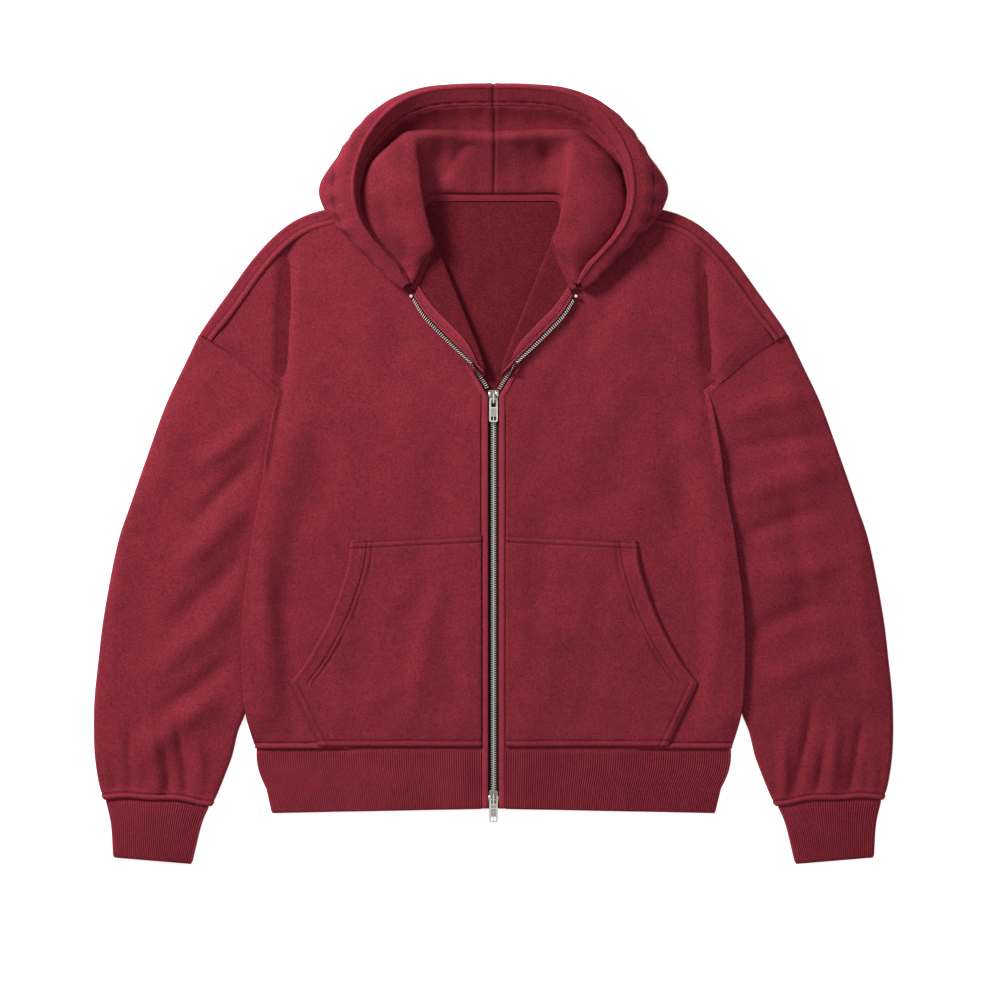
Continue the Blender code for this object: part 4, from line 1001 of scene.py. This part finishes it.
def build_pocket(side, name):
    """Pocket laid on the front from its own outline, a little off it at the hand opening."""
    outline = table(POCKET_EDGE, "x", "y")
    spans = np.concatenate([np.linspace(0, 0.5, 9), np.linspace(0.5, 9.0, 74)[1:],
                            np.linspace(9.0, 10, 22)[1:]])
    # spans run from 0 at the hem to 10 at the top, with the corner at POCKET_CORNER
    lower = at(outline[:POCKET_CORNER + 1], np.minimum(spans, POCKET_CORNER) / POCKET_CORNER)
    upper = at(outline[POCKET_CORNER:], np.maximum(spans - POCKET_CORNER, 0) / (10 - POCKET_CORNER))
    outer = np.where((spans < POCKET_CORNER)[:, None], lower, upper)
    low = HEM_Y + 0.8
    inner = np.stack([np.full(len(spans), FRONT_EDGE + 0.2), low + spans / 10 * (POCKET_TOP_Y - low)], axis=1)
    near = np.arange(0, 26, 1.2)[::-1] / 180
    across = np.concatenate([np.linspace(0, 1 - near[0], 56)[:-1], 1 - near])
    bottom = inner[0] + across[:, None] * (outer[0] - inner[0])
    top = inner[-1] + across[:, None] * (outer[-1] - inner[-1])
    flat = patch(bottom, top, inner, outer, across, spans / 10)
    x, y = flat[..., 0], flat[..., 1]
    end, top_edge, base = (edge_distance(np.dstack([flat, 0 * x]), edge) for edge in ("end", "top", "bottom"))
    share = (spans / 10)[:, None]
    mouth = smooth(0.34, 0.5, share) * (1 - smooth(0.86, 0.99, share)) * (1 - smooth(4, 46, end))
    own = 0.9 * ripple(x, y, 12 + side, 15) + 0.3 * ripple(x, y, 15 + side, 6.5) + folds(x, y, POCKET_FOLDS)
    own = own * smooth(0, 22, end) * smooth(0, 20, top_edge) * smooth(0, 20, base) * smooth(20, 50, x)
    height = front_height(x, y) + np.maximum(front_relief(x, y, side), -2.2) + CLOTH / 2 + POCKET_CLOTH / 2
    height = height + 1.6 * mouth + np.abs(own) * 0.4 + own * 0.6 + 0.85 - under_pocket(x, y)
    grid = np.dstack([flat, height])
    opening = smooth(0.29, 0.31, share)
    relief = opening * (groove(end - MOUTH_STITCHES[0], 0.9, 0.5) + groove(end - MOUTH_STITCHES[1], 0.9, 0.5)
                        + groove(end - 0.3, 1.0, 0.6) + ridge(end - 3.6, 1.5, 0.5))
    relief = relief + (1 - opening) * (groove(end - SIDE_STITCHES[0], 0.8, 0.45) + groove(end - 0.3, 1.0, 0.5)
                                       + groove(end - SIDE_STITCHES[1], 0.9, 0.45))
    relief = relief + (groove(top_edge - TOP_STITCHES[0], 0.8, 0.45) + groove(top_edge - 0.3, 1.0, 0.5)
                       + groove(top_edge - TOP_STITCHES[1], 0.9, 0.5))
    relief = relief + ridge(end - 5, 3, 0.3) + ridge(top_edge - 6, 2.2, 0.25)
    relief = relief + ridge(base - 2.4, 2.0, 0.7) + groove(base - BASE_STITCH, 0.9, 0.55)
    shell = Shell(name, grid, POCKET_CLOTH, (finish("brushed fleece"), finish("fleece pile")), side,
                  relief=relief)
    declare_sheet(shell, name)
    corner = float(np.argmax(spans >= POCKET_CORNER)) / len(spans)
    return ([inset_line(shell, "end", distance, corner) for distance in MOUTH_STITCHES]
            + [inset_line(shell, "end", distance, 0.05, corner) for distance in SIDE_STITCHES]
            + [inset_line(shell, "top", distance) for distance in TOP_STITCHES]
            + [inset_line(shell, "bottom", BASE_STITCH)])


# ---------------------------------------------------------------- hood
def hood_sections(*columns):
    """The named columns of the hood table, smoothed from row to row."""
    return np.stack([refine(HOOD[column], 10) for column in columns], axis=1)


def hood_grid(sections, steps):
    rows, columns = sections.shape[:2]
    dense = refine(sections.transpose(1, 0, 2).reshape(columns, rows * 3), steps)
    grid = dense.reshape(-1, rows, 3).transpose(1, 0, 2)
    grid[..., 2] = np.maximum(grid[..., 2], HOOD_CLOTH / 2 + 0.05)
    return grid


def toward(start, end, length):
    """The point a length away from start on the way to end."""
    return start + unit(end - start) * length


def build_hood_half(side, suffix):
    """Outer layer turned in at its edge, and a lining that ends at the turned hem."""
    strength = bpy.context.scene.hoodie.fold_strength
    outer = hood_sections("collar", "under", "bulge", "band", "lip")
    lining = hood_sections("neck", "rise", "fold", "face", "edge", "trough")
    lip, trough = outer[:, -1], lining[:, -1]
    inward = toward(lip, trough, 1.0) - lip
    inward[:, 2] = 0
    turn = lip + unit(inward) * (HOOD_CLOTH + 0.9)
    share = np.minimum(HOOD_HEM, 0.55 * np.linalg.norm(trough - turn, axis=1))[:, None]
    hem = toward(turn, trough, share)
    over = (lip + turn) / 2 + [0, 0, 1.2]
    edge = refine(np.stack([lip, over, turn]).reshape(3, -1), 4)[1:]
    edge = edge.reshape(-1, len(lip), 3).transpose(1, 0, 2)
    inside = turn[:, None] + np.linspace(0, 1, 18)[None, 1:, None] * (hem - turn)[:, None]
    outer_grid = np.concatenate([hood_grid(outer, 12), edge, inside], axis=1)
    outer_grid[0, :, 0] = -0.4 if side > 0 else 0.5
    run, back, seam = (edge_distance(outer_grid, name) for name in ("start", "end", "bottom"))
    around = run_of(lip)[:, None]
    lip_run = run[:, 48:49]
    soft = strength * 0.9 * np.sin(around / 21 + 1.5 * np.sin(around / 47 + side))
    soft = soft * smooth(20, 60, lip_run - run) * smooth(10, 40, run)
    from_stitch = run - (lip_run - HOOD_STITCH)
    relief = soft + ridge(from_stitch, 9, 0.75) * np.sin(around / 3.4 + np.sin(around / 13))
    relief = relief + groove(from_stitch, 0.9, 0.55) + ridge(run - lip_run + 11, 6, 0.35)
    relief = relief + groove(seam, 1.0, 0.42) + ridge(seam - 3, 1.6, 0.3)
    relief = relief + groove(back - 4.2, 0.9, 0.5)
    relief = relief + ridge(back - 3.0, 1.6, 0.5) * np.sin(around / 2.9 + np.sin(around / 9))
    taper = smooth(0, 6, edge_distance(outer_grid, "top")) * smooth(0, 3, run)
    name = "hood_outer_" + suffix
    shell = Shell(name, outer_grid, HOOD_CLOTH, (finish("hood fleece"), finish("fleece pile")), side,
                  relief=relief * taper)
    declare_sheet(shell, name)
    places = [read(reach - HOOD_STITCH, run_of(row), row) for row, reach in zip(shell.outer, lip_run[:, 0])]
    lines = [inset_line(shell, "end", 4.2, 0.0, 0.97), (np.array(places), shell.normal[:, 40])]
    end = toward(hem, trough, 0.6)
    fall = np.linspace(0, 1, 11)[None, 1:, None]
    back_wall = trough[:, None] + fall * (end - trough)[:, None]
    sag = smooth(0, 25, np.linalg.norm(end - trough, axis=1)) * (trough[:, 2] < 12)
    back_wall[..., 2] -= 3.0 * np.sin(math.pi * fall[..., 0]) * sag[:, None]
    lining_grid = np.concatenate([hood_grid(lining, 11), back_wall], axis=1)
    x, y = lining_grid[..., 0], lining_grid[..., 1]
    hollow = ridge(x - 60, 11, 5.5) * ridge(y - 350, 13, 1.0)
    slant = ridge(x - 40 + 0.7 * (y - 350), 9, 2.3) * smooth(318, 335, y) * (1 - smooth(358, 368, y))
    lining_grid[..., 2] -= strength * (hollow + slant)
    lining_grid[..., 2] = np.maximum(lining_grid[..., 2], HOOD_CLOTH / 2 + 0.6)
    lining_grid[0, :, 0] = 0.45 if side > 0 else -0.35
    lining_grid = lining_grid[:, ::-1]
    run, neck, seam = (edge_distance(lining_grid, name) for name in ("start", "end", "bottom"))
    around = run_of(lining_grid[:, 20])[:, None]
    x, y = lining_grid[..., 0], lining_grid[..., 1]
    relief = strength * (1.1 * ripple(x, y, 21 + side, 12) + 0.5 * ripple(x, y, 25 + side, 5.0))
    relief = relief + 0.5 * np.sin(around / 3.2 + 1.4 * np.sin(around / 11)) * np.exp(-run / 7)
    relief = relief + 0.4 * np.sin(around / 4.0 + side) * np.exp(-neck / 9)
    relief = relief * smooth(0, 4, run) * smooth(0, 4, neck)
    relief = relief + groove(seam, 1.0, 0.42) + ridge(seam - 3, 1.6, 0.3)
    name = "hood_lining_" + suffix
    shell = Shell(name, lining_grid, HOOD_CLOTH, (finish("hood fleece"), finish("fleece pile")), side,
                  relief=relief)
    declare_sheet(shell, name)
    return lines + [inset_line(shell, "end", 3.5, 0.0, 0.98)]


def build_neck_tape():
    rows = np.stack([refine(NECK_TAPE["body"], 8), refine(NECK_TAPE["hood"], 8)])
    grid = rows[0][None] + np.linspace(0, 1, 12)[:, None, None] * (rows[1] - rows[0])[None]
    left = grid[:, :0:-1] * [-1, 1, 1]
    whole = np.concatenate([left, grid], axis=1)
    base, top = edge_distance(whole, "bottom"), edge_distance(whole, "top")
    relief = groove(base - 1.6, 0.5, 0.25) + groove(top - 1.6, 0.5, 0.25) + ridge(base - 4.6, 3, 0.3)
    shell = Shell("neck_tape", whole, TRIM, (finish("twill tape"),), relief=relief)
    declare_sheet(shell, "neck_tape")
    return [inset_line(shell, "bottom", 1.6), inset_line(shell, "top", 1.6)]


# ---------------------------------------------------------------- zip
def build_zip_bands(side, suffix):
    """Placket, zip tape and inner facing of one side."""
    low = straight_rows(HEM_END_Y + 0.5, BAND_TOP_Y, 3.0)
    grid = strip(low, np.linspace(*PLACKET, 12), 0.0)
    # above the slider the band narrows to nothing along the outside of the teeth
    narrowing = []
    for share in np.linspace(0.04, 1, 24):
        plan, outward = zip_line(0.22 * share)
        outward = unit(outward + (np.array([1.0, 0.0]) - outward) * (1 - float(smooth(0, 0.4, share))))
        inner = plan + outward * (PLACKET[0] - 2.0 * share)
        width = (PLACKET[1] - PLACKET[0]) * (1 - share) ** 0.7 + 0.6
        points = inner + np.linspace(0, width, 12)[:, None] * outward
        height = front_height(points[:, 0], points[:, 1]) + 0.5 + 1.6 * share
        narrowing.append(np.column_stack([points, height]))
    grid = np.concatenate([grid, np.array(narrowing)])
    start, end = edge_distance(grid, "start"), edge_distance(grid, "end")
    relief = ridge(start - 2.6, 1.9, 0.4) + groove(end, 0.8, 0.55)
    relief = relief + 0.10 * np.sin(edge_distance(grid, "bottom") / 5.1)
    placket = Shell("placket_" + suffix, grid, CLOTH, (finish("placket fleece"),), side, relief=relief)
    declare_sheet(placket, "placket_" + suffix)
    above = lapel_rows(0.0, 0.965, 74)
    stops = np.concatenate([np.linspace(CHAIN_HALF - 0.4, LAPEL_STOPS[0], 5),
                            np.linspace(*LAPEL_STOPS, 8)[1:]])
    tape_grid = list(strip(straight_rows(HEM_END_Y + 0.5, TAPE_TOP_Y, 6.0), stops, TAPE_RISE))
    for row in above:
        origin, across = zip_frame(row[1])
        width = 4.4 + (LAPEL_STOPS[1] - 4.4) * float(1 - smooth(0, 0.05, row[1]) + smooth(0.22, 0.36, row[1]))
        places = stops[0] + (stops - stops[0]) * (width - stops[0]) / (stops[-1] - stops[0])
        lying = np.array([on_front(row, place, TAPE_RISE) for place in places])
        standing = origin + places[:, None] * across
        tape_grid.append(standing + (lying - standing) * float(smooth(TWIST_END, 0.34, row[1])))
    tape = Shell("zip_tape_" + suffix, np.array(tape_grid), TAPE, (finish("zip tape"),), side)
    declare_sheet(tape, "zip_tape_" + suffix)
    rise = TAPE_RISE + TAPE / 2 + TRIM / 2 + 0.35
    grid = []
    for row in lapel_rows(0.15, 0.965, 70):
        width = 1.2 + 10.3 * float(smooth(0.1, 0.42, row[1]))
        grid.append([on_front(row, place, rise) for place in np.linspace(4.5, 4.5 + width, 22)])
    grid = np.array(grid)
    start, end = edge_distance(grid, "start"), edge_distance(grid, "end")
    # the garment's inside face looks up here, so its relief is worked on the inner side
    ridges = 0.28 * np.cos(start * 2 * math.pi / 2.3) * smooth(0.5, 2, start) * smooth(0.5, 2, end)
    flipped = grid[:, ::-1]
    facing = Shell("facing_" + suffix, flipped, TRIM, (finish("placket fleece"),), side,
                   relief=np.flip(ridges, 1) + groove(np.flip(start, 1) - 3.4, 0.6, 0.3))
    declare_sheet(facing, "facing_" + suffix)
    return [inset_line(facing, "end", 3.4), inset_line(facing, "end", 8.0)]


def add_tooth(vertices, faces, origin, across, along, up):
    """One stamped tooth: a head past the centre line, a waist, and a foot clamped on the tape."""
    outline = list(TOOTH) + [(x, -y) for x, y in reversed(TOOTH)]
    count, base = len(outline), len(vertices)
    for level, shrink in ((-0.5, 0.8), (-0.3, 1.0), (0.3, 1.0), (0.5, 0.72)):
        for x, y in outline:
            reach = 1.0 + (x - 1.0) * (0.5 + shrink / 2)
            vertices.append(origin + across * reach + along * y * shrink + up * level * TOOTH_HEIGHT)
    for ring in range(3):
        for index in range(count):
            after = (index + 1) % count
            a, b = base + ring * count + index, base + ring * count + after
            faces.append((b, a, a + count, b + count))
    faces.append(tuple(range(base, base + count)))
    faces.append(tuple(range(base + 3 * count, base + 4 * count))[::-1])


def tooth_piece(name, places, node):
    vertices, faces = [], []
    for origin, across, along, up in places:
        add_tooth(vertices, faces, origin, across, along, up)
    piece = mesh_piece(name, vertices, faces, (finish("nickel teeth"),), smooth_faces=False)
    declare(piece, node)


def build_teeth():
    """Closed chain below the slider, and a row along each lapel above it."""
    pitch = bpy.context.scene.hoodie.tooth_pitch / MM
    chain, up, along = [], np.array([0, 0, 1.0]), np.array([0, 1.0, 0])
    for index, y in enumerate(np.arange(CHAIN_LOW_Y, BAND_TOP_Y, pitch / 2)):
        side = 1 if index % 2 else -1
        chain.append((np.array([0, y, CHAIN_MIDDLE]), np.array([side, 0, 0.0]), along, up))
    tooth_piece("zip_chain_teeth", chain, "zip_chain")
    for side, suffix in ((1, "left"), (-1, "right")):
        frames = [zip_frame(fraction) for fraction in np.linspace(0.022, 0.955, 240)]
        points = np.array([origin for origin, across in frames])
        inner = np.array([origin + 3 * across for origin, across in frames])
        run = run_of(points)
        places, mirror = [], np.array([side, 1.0, 1.0])
        for length in np.arange(pitch * (0.25 if side > 0 else 0.75), run[-1], pitch):
            behind, origin, ahead = read([length - 1, length, length + 1], run, points)
            across = unit(read(length, run, inner) - origin) * mirror
            along = unit(ahead - behind) * mirror
            along = unit(along - across * np.dot(along, across))
            places.append((origin * mirror, across, along, np.cross(across, along)))
        tooth_piece("zip_teeth_open_" + suffix, places, "zip_teeth_" + suffix)


def add_block(vertices, faces, low, high):
    """A box between two corners."""
    base = len(vertices)
    for z in (low[2], high[2]):
        for x, y in ((low[0], low[1]), (high[0], low[1]), (high[0], high[1]), (low[0], high[1])):
            vertices.append(np.array([x, y, z]))
    sides = ((3, 2, 1, 0), (4, 5, 6, 7), (0, 1, 5, 4), (1, 2, 6, 5), (2, 3, 7, 6), (3, 0, 4, 7))
    faces += [tuple(base + corner for corner in side) for side in sides]


def add_dome(vertices, faces, middle, radii):
    """An ellipsoid about a point."""
    rings, around = 10, 24
    base = len(vertices)
    for ring in range(rings + 1):
        tilt = math.pi * (0.02 + 0.96 * ring / rings)
        for step in range(around):
            turn = 2 * math.pi * step / around
            direction = (math.sin(tilt) * math.cos(turn), math.sin(tilt) * math.sin(turn), math.cos(tilt))
            vertices.append(np.array(middle) + np.array(radii) * direction)
    for ring in range(rings):
        for step in range(around):
            a, b = base + ring * around + step, base + ring * around + (step + 1) % around
            faces.append((a, a + around, b + around, b))
    faces.append(tuple(base + step for step in range(around)))
    faces.append(tuple(base + rings * around + step for step in range(around))[::-1])


def metal_piece(name, look, body, blocks=(), domes=()):
    vertices, faces = [], []
    for low, high in blocks:
        add_block(vertices, faces, low, high)
    for middle, radii in domes:
        add_dome(vertices, faces, middle, radii)
    piece = mesh_piece(name, vertices, faces, (finish(look),), smooth_faces=bool(domes) and not blocks)
    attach(piece, body)


def build_slider_details():
    """Shoulders and bridge bar of each slider in the paler nickel as a painted highlight, and near-black
    plates of painted shadow at the top slider's nose and under the top pull's holes.
    """
    for node, wide_end in (("slider_top", 1), ("slider_bottom", -1)):
        low, high = (np.array(corner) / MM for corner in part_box(node))
        shoulder = (high[1] if wide_end > 0 else low[1]) - wide_end * 4.6
        plate, crown = high[2] - 4.5, high[2]
        # painted highlight: shoulders and a bar along the bridge in the paler nickel over the darker slider
        # body
        metal_piece(node + "_shoulders", "nickel pull", GARMENT,
                    domes=[((x, shoulder, plate), (2.5, 3.4, 1.5)) for x in (-3.7, 3.7)])
        metal_piece(node + "_highlight_bar", "nickel pull", GARMENT,
                    blocks=[((-0.75, high[1] - 14.6, crown - 0.3), (0.75, high[1] - 3.2, crown + 0.25))])
    low, high = (np.array(corner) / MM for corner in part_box("slider_top"))
    # painted shadow: a thin near-black plate at the top slider's nose
    metal_piece("slider_top_nose_shadow", "painted shadow metal", GARMENT,
                blocks=[((-2.7, low[1] - 6.2, high[2] - 5.6), (2.7, low[1] + 0.6, high[2] - 5.0))])
    low, high = (np.array(corner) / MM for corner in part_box("pull_top"))
    # painted shadow: a thin near-black plate under the top pull, seen through its holes
    metal_piece("pull_top_window_shadow", "painted shadow metal", "pull_top",
                blocks=[((-3.0, low[1] + 1.5, low[2] - 0.25), (3.0, low[1] + 6.5, low[2] - 0.05))])


def rounded_copy(node, width, material, body):
    """The hard part's own solid with its edges rounded, standing for it."""
    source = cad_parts[node]
    piece = bpy.data.objects.new(node + "_finished", source.data.copy())
    piece.matrix_world = source.matrix_world.copy()
    bpy.context.scene.collection.objects.link(piece)
    piece.data.materials.clear()
    piece.data.materials.append(material)
    weld = piece.modifiers.new("Weld", "WELD")
    weld.merge_threshold = 0.01 * MM
    rounding = piece.modifiers.new("Bevel", "BEVEL")
    rounding.width, rounding.segments, rounding.limit_method = width * MM, 3, "ANGLE"
    rounding.angle_limit = math.radians(30)
    rounding.use_clamp_overlap = True
    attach(piece, body)
    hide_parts(node)
    return piece


def build_metal():
    build_slider_details()
    for node, body, width in (("slider_top", GARMENT, 0.45), ("slider_bottom", GARMENT, 0.45),
                              ("pull_top", "pull_top", 0.35), ("pull_bottom", "pull_bottom", 0.35),
                              ("top_stop_left", GARMENT, 0.5), ("top_stop_right", GARMENT, 0.5),
                              ("zip_box", GARMENT, 0.5)):
        # painted shade: the slider bodies take a darker copy of the same nickel as the teeth and pulls
        look = "shade-darkened nickel" if node in ("slider_top", "slider_bottom") else "nickel pull"
        rounded_copy(node, width, finish(look), body)
    for node in ("pull_top", "pull_bottom"):
        low, high = (np.array(corner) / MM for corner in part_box(node))
        vertices, faces = [], []
        for index in range(5):
            middle = (low[0] + high[0]) / 2 + (index - 2) * 1.25
            for y in (high[1] - 11.2, low[1] + 7.4):
                for x, z in ((-0.32, -0.2), (-0.2, 0.22), (0.2, 0.22), (0.32, -0.2)):
                    vertices.append(np.array([middle + x, y, high[2] + z]))
            base = len(vertices) - 8
            faces += [(base + a, base + b, base + b + 4, base + a + 4)
                      for a, b in ((1, 0), (2, 1), (3, 2), (0, 3))]
            faces += [(base, base + 1, base + 2, base + 3), (base + 7, base + 6, base + 5, base + 4)]
        # painted shade: the grip panel between the pull's bars takes the darker nickel
        metal_piece(node + "_panel", "shade-darkened nickel", node,
                    blocks=[((-2.9, low[1] + 7.0, high[2] - 0.3), (2.9, high[1] - 10.9, high[2] + 0.06))])
        grooves = mesh_piece(node + "_grip", vertices, faces, (finish("nickel pull"),), smooth_faces=False)
        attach(grooves, node)


# ---------------------------------------------------------------- settings, operators and panel
def shade(label, use, value):
    return FloatVectorProperty(name=label, description=use, subtype="COLOR", size=3, min=0, max=1,
                               default=value)


def size(label, use, value, low, high):
    return FloatProperty(name=label, description=use, subtype="DISTANCE", unit="LENGTH", default=value * MM,
                         min=low * MM, max=high * MM, precision=4)


class HoodieSettings(bpy.types.PropertyGroup):
    """Sizes and colours of the hoodie; colours are as they look in daylight, before conversion, except the
    slider nickel and the zip tape, which are darkened as painted shade.
    """
    fleece_colour: shade("Fleece", "Garment-dyed face of body and sleeves", (0.475, 0.125, 0.18))
    pile_colour: shade("Pile", "Brushed inside of the fleece", (0.425, 0.088, 0.135))
    hood_colour: shade("Hood", "Both layers of the hood", (0.475, 0.125, 0.18))
    placket_colour: shade("Placket", "Bands beside the zip", (0.54, 0.165, 0.22))
    rib_colour: shade("Rib", "Hem band and cuffs", (0.495, 0.138, 0.195))
    tape_colour: shade("Tape", "Neck tape", (0.47, 0.12, 0.17))
    # painted shade: the tape is made near black so the gaps between and beside the teeth read as shadow
    zip_tape_shade_colour: shade("Zip tape", "Tape that the teeth are clamped on", (0.17, 0.045, 0.06))
    thread_colour: shade("Thread", "Topstitching", (0.40, 0.10, 0.145))
    # painted shade: a darker copy of the nickel, for the slider bodies and the pulls' grip panels
    slider_shade_colour: shade("Slider", "Nickel of the slider bodies", (0.62, 0.60, 0.57))
    metal_colour: shade("Metal", "Nickel plating of teeth, sliders and pulls", (0.90, 0.89, 0.86))
    rib_pitch: size("Rib pitch", "Distance between two ribs", 2.5, 1.5, 6)
    stitch_length: size("Stitch length", "Length of one topstitch", 2.6, 1.0, 6)
    tooth_pitch: size("Tooth pitch", "Distance between two teeth on one tape", 2.5, 1.5, 6)
    fold_strength: FloatProperty(name="Folds", description="Strength of creases and gathers", default=1.0,
                                 min=0, max=2)


def stitch(name, lines):
    look = bpy.context.scene.hoodie
    threads(name, lines, finish("sewing thread"), look.stitch_length / MM)


class HOODIE_OT_back(bpy.types.Operator):
    """Back panel, turned over the shoulders"""
    bl_idname = "hoodie.back"
    bl_label = "Back"

    def execute(self, context):
        stitch("back_stitching", build_back())
        return {"FINISHED"}


class HOODIE_OT_fronts(bpy.types.Operator):
    """Both front panels with their lapels"""
    bl_idname = "hoodie.fronts"
    bl_label = "Fronts"

    def execute(self, context):
        stitch("front_stitching", build_front(1, "front_left") + build_front(-1, "front_right"))
        return {"FINISHED"}


class HOODIE_OT_sleeves(bpy.types.Operator):
    """Both sleeves"""
    bl_idname = "hoodie.sleeves"
    bl_label = "Sleeves"

    def execute(self, context):
        stitch("sleeve_stitching", build_sleeve(1, "sleeve_left") + build_sleeve(-1, "sleeve_right"))
        return {"FINISHED"}


class HOODIE_OT_ribs(bpy.types.Operator):
    """Ribbed cuffs and hem band"""
    bl_idname = "hoodie.ribs"
    bl_label = "Cuffs and hem"

    def execute(self, context):
        build_cuff(1, "cuff_left")
        build_cuff(-1, "cuff_right")
        build_hem()
        return {"FINISHED"}


class HOODIE_OT_pockets(bpy.types.Operator):
    """Both front pockets with twin-needle stitching"""
    bl_idname = "hoodie.pockets"
    bl_label = "Pockets"

    def execute(self, context):
        stitch("pocket_stitching", build_pocket(1, "pocket_left") + build_pocket(-1, "pocket_right"))
        return {"FINISHED"}


class HOODIE_OT_hood(bpy.types.Operator):
    """Hood halves, their linings and the neck tape"""
    bl_idname = "hoodie.hood"
    bl_label = "Hood"

    def execute(self, context):
        lines = build_hood_half(1, "left") + build_hood_half(-1, "right") + build_neck_tape()
        stitch("hood_stitching", lines)
        return {"FINISHED"}


class HOODIE_OT_zip(bpy.types.Operator):
    """Plackets, tapes, facings, teeth, sliders and pulls"""
    bl_idname = "hoodie.zip"
    bl_label = "Zip"

    def execute(self, context):
        stitch("zip_stitching", build_zip_bands(1, "left") + build_zip_bands(-1, "right"))
        build_teeth()
        build_metal()
        return {"FINISHED"}


class HOODIE_OT_stage(bpy.types.Operator):
    """Pale floor, soft lights and the camera looking straight down"""
    bl_idname = "hoodie.stage"
    bl_label = "Stage"

    def execute(self, context):
        scene = context.scene
        low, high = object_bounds()
        made, tree, shader = new_material("pale floor")
        tint = remap(tree, noise(tree, 3, 2), 0.3, 0.7, 0.93, 0.95)
        tree.links.new(tint, shader.inputs["Base Color"])
        shader.inputs["Roughness"].default_value = 1.0
        shader.inputs["Emission Color"].default_value = (1, 1, 1, 1)
        shader.inputs["Emission Strength"].default_value = 0.7
        corners = [(4000 * x, 4000 * y, -0.2) for x, y in ((-1, -1), (1, -1), (1, 1), (-1, 1))]
        floor = mesh_piece("floor", corners, [(0, 1, 2, 3)], (made,))
        floor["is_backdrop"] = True
        for name, place, width, power in (("key", (-1.7, 1.6, 1.35), 0.7, 98),
                                          ("fill", (1.6, -1.2, 1.6), 2.2, 7),
                                          ("top", (0.2, 0.1, 2.6), 2.5, 12)):
            light = bpy.data.lights.new(name, "AREA")
            light.energy, light.size = power, width
            lamp = bpy.data.objects.new(name, light)
            lamp.location = place
            lamp.rotation_euler = (-Vector(place)).to_track_quat("-Z", "Y").to_euler()
            scene.collection.objects.link(lamp)
        world = bpy.data.worlds.new("studio")
        world.use_nodes = True
        sky = world.node_tree.nodes["Background"]
        sky.inputs["Color"].default_value = (1, 1, 1, 1)
        sky.inputs["Strength"].default_value = 0.20
        scene.world = world
        scene.view_settings.view_transform = "Standard"
        lens = bpy.data.cameras.new("camera")
        lens.lens, lens.sensor_width, lens.clip_end = 196.0, 36.0, 50.0
        camera = bpy.data.objects.new("camera", lens)
        middle = (low[0] + high[0]) / 2, (low[1] + high[1]) / 2
        camera.location = (middle[0] + 0.00715, middle[1] - 0.0286, 6.0)
        scene.collection.objects.link(camera)
        scene.camera = camera
        return {"FINISHED"}


class HOODIE_PT_panel(bpy.types.Panel):
    """Lists the hoodie's sizes, colours and pieces"""
    bl_idname = "HOODIE_PT_panel"
    bl_label = "Zip up hoodie"
    bl_space_type = "VIEW_3D"
    bl_region_type = "UI"
    bl_category = "Hoodie"

    def draw(self, context):
        for name in HoodieSettings.__annotations__:
            self.layout.prop(context.scene.hoodie, name)
        for operator in OPERATORS:
            self.layout.operator(operator.bl_idname)


OPERATORS = (HOODIE_OT_back, HOODIE_OT_fronts, HOODIE_OT_sleeves, HOODIE_OT_ribs, HOODIE_OT_pockets,
             HOODIE_OT_hood, HOODIE_OT_zip, HOODIE_OT_stage)
CLASSES = (HoodieSettings, HOODIE_PT_panel) + OPERATORS


def register():
    for item in CLASSES:
        bpy.utils.register_class(item)
    bpy.types.Scene.hoodie = PointerProperty(type=HoodieSettings)


def unregister():
    del bpy.types.Scene.hoodie
    for item in reversed(CLASSES):
        bpy.utils.unregister_class(item)


def main():
    register()
    for call in (bpy.ops.hoodie.back, bpy.ops.hoodie.fronts, bpy.ops.hoodie.sleeves, bpy.ops.hoodie.ribs,
                 bpy.ops.hoodie.pockets, bpy.ops.hoodie.hood, bpy.ops.hoodie.zip, bpy.ops.hoodie.stage):
        call()


if __name__ == "__main__":
    main()
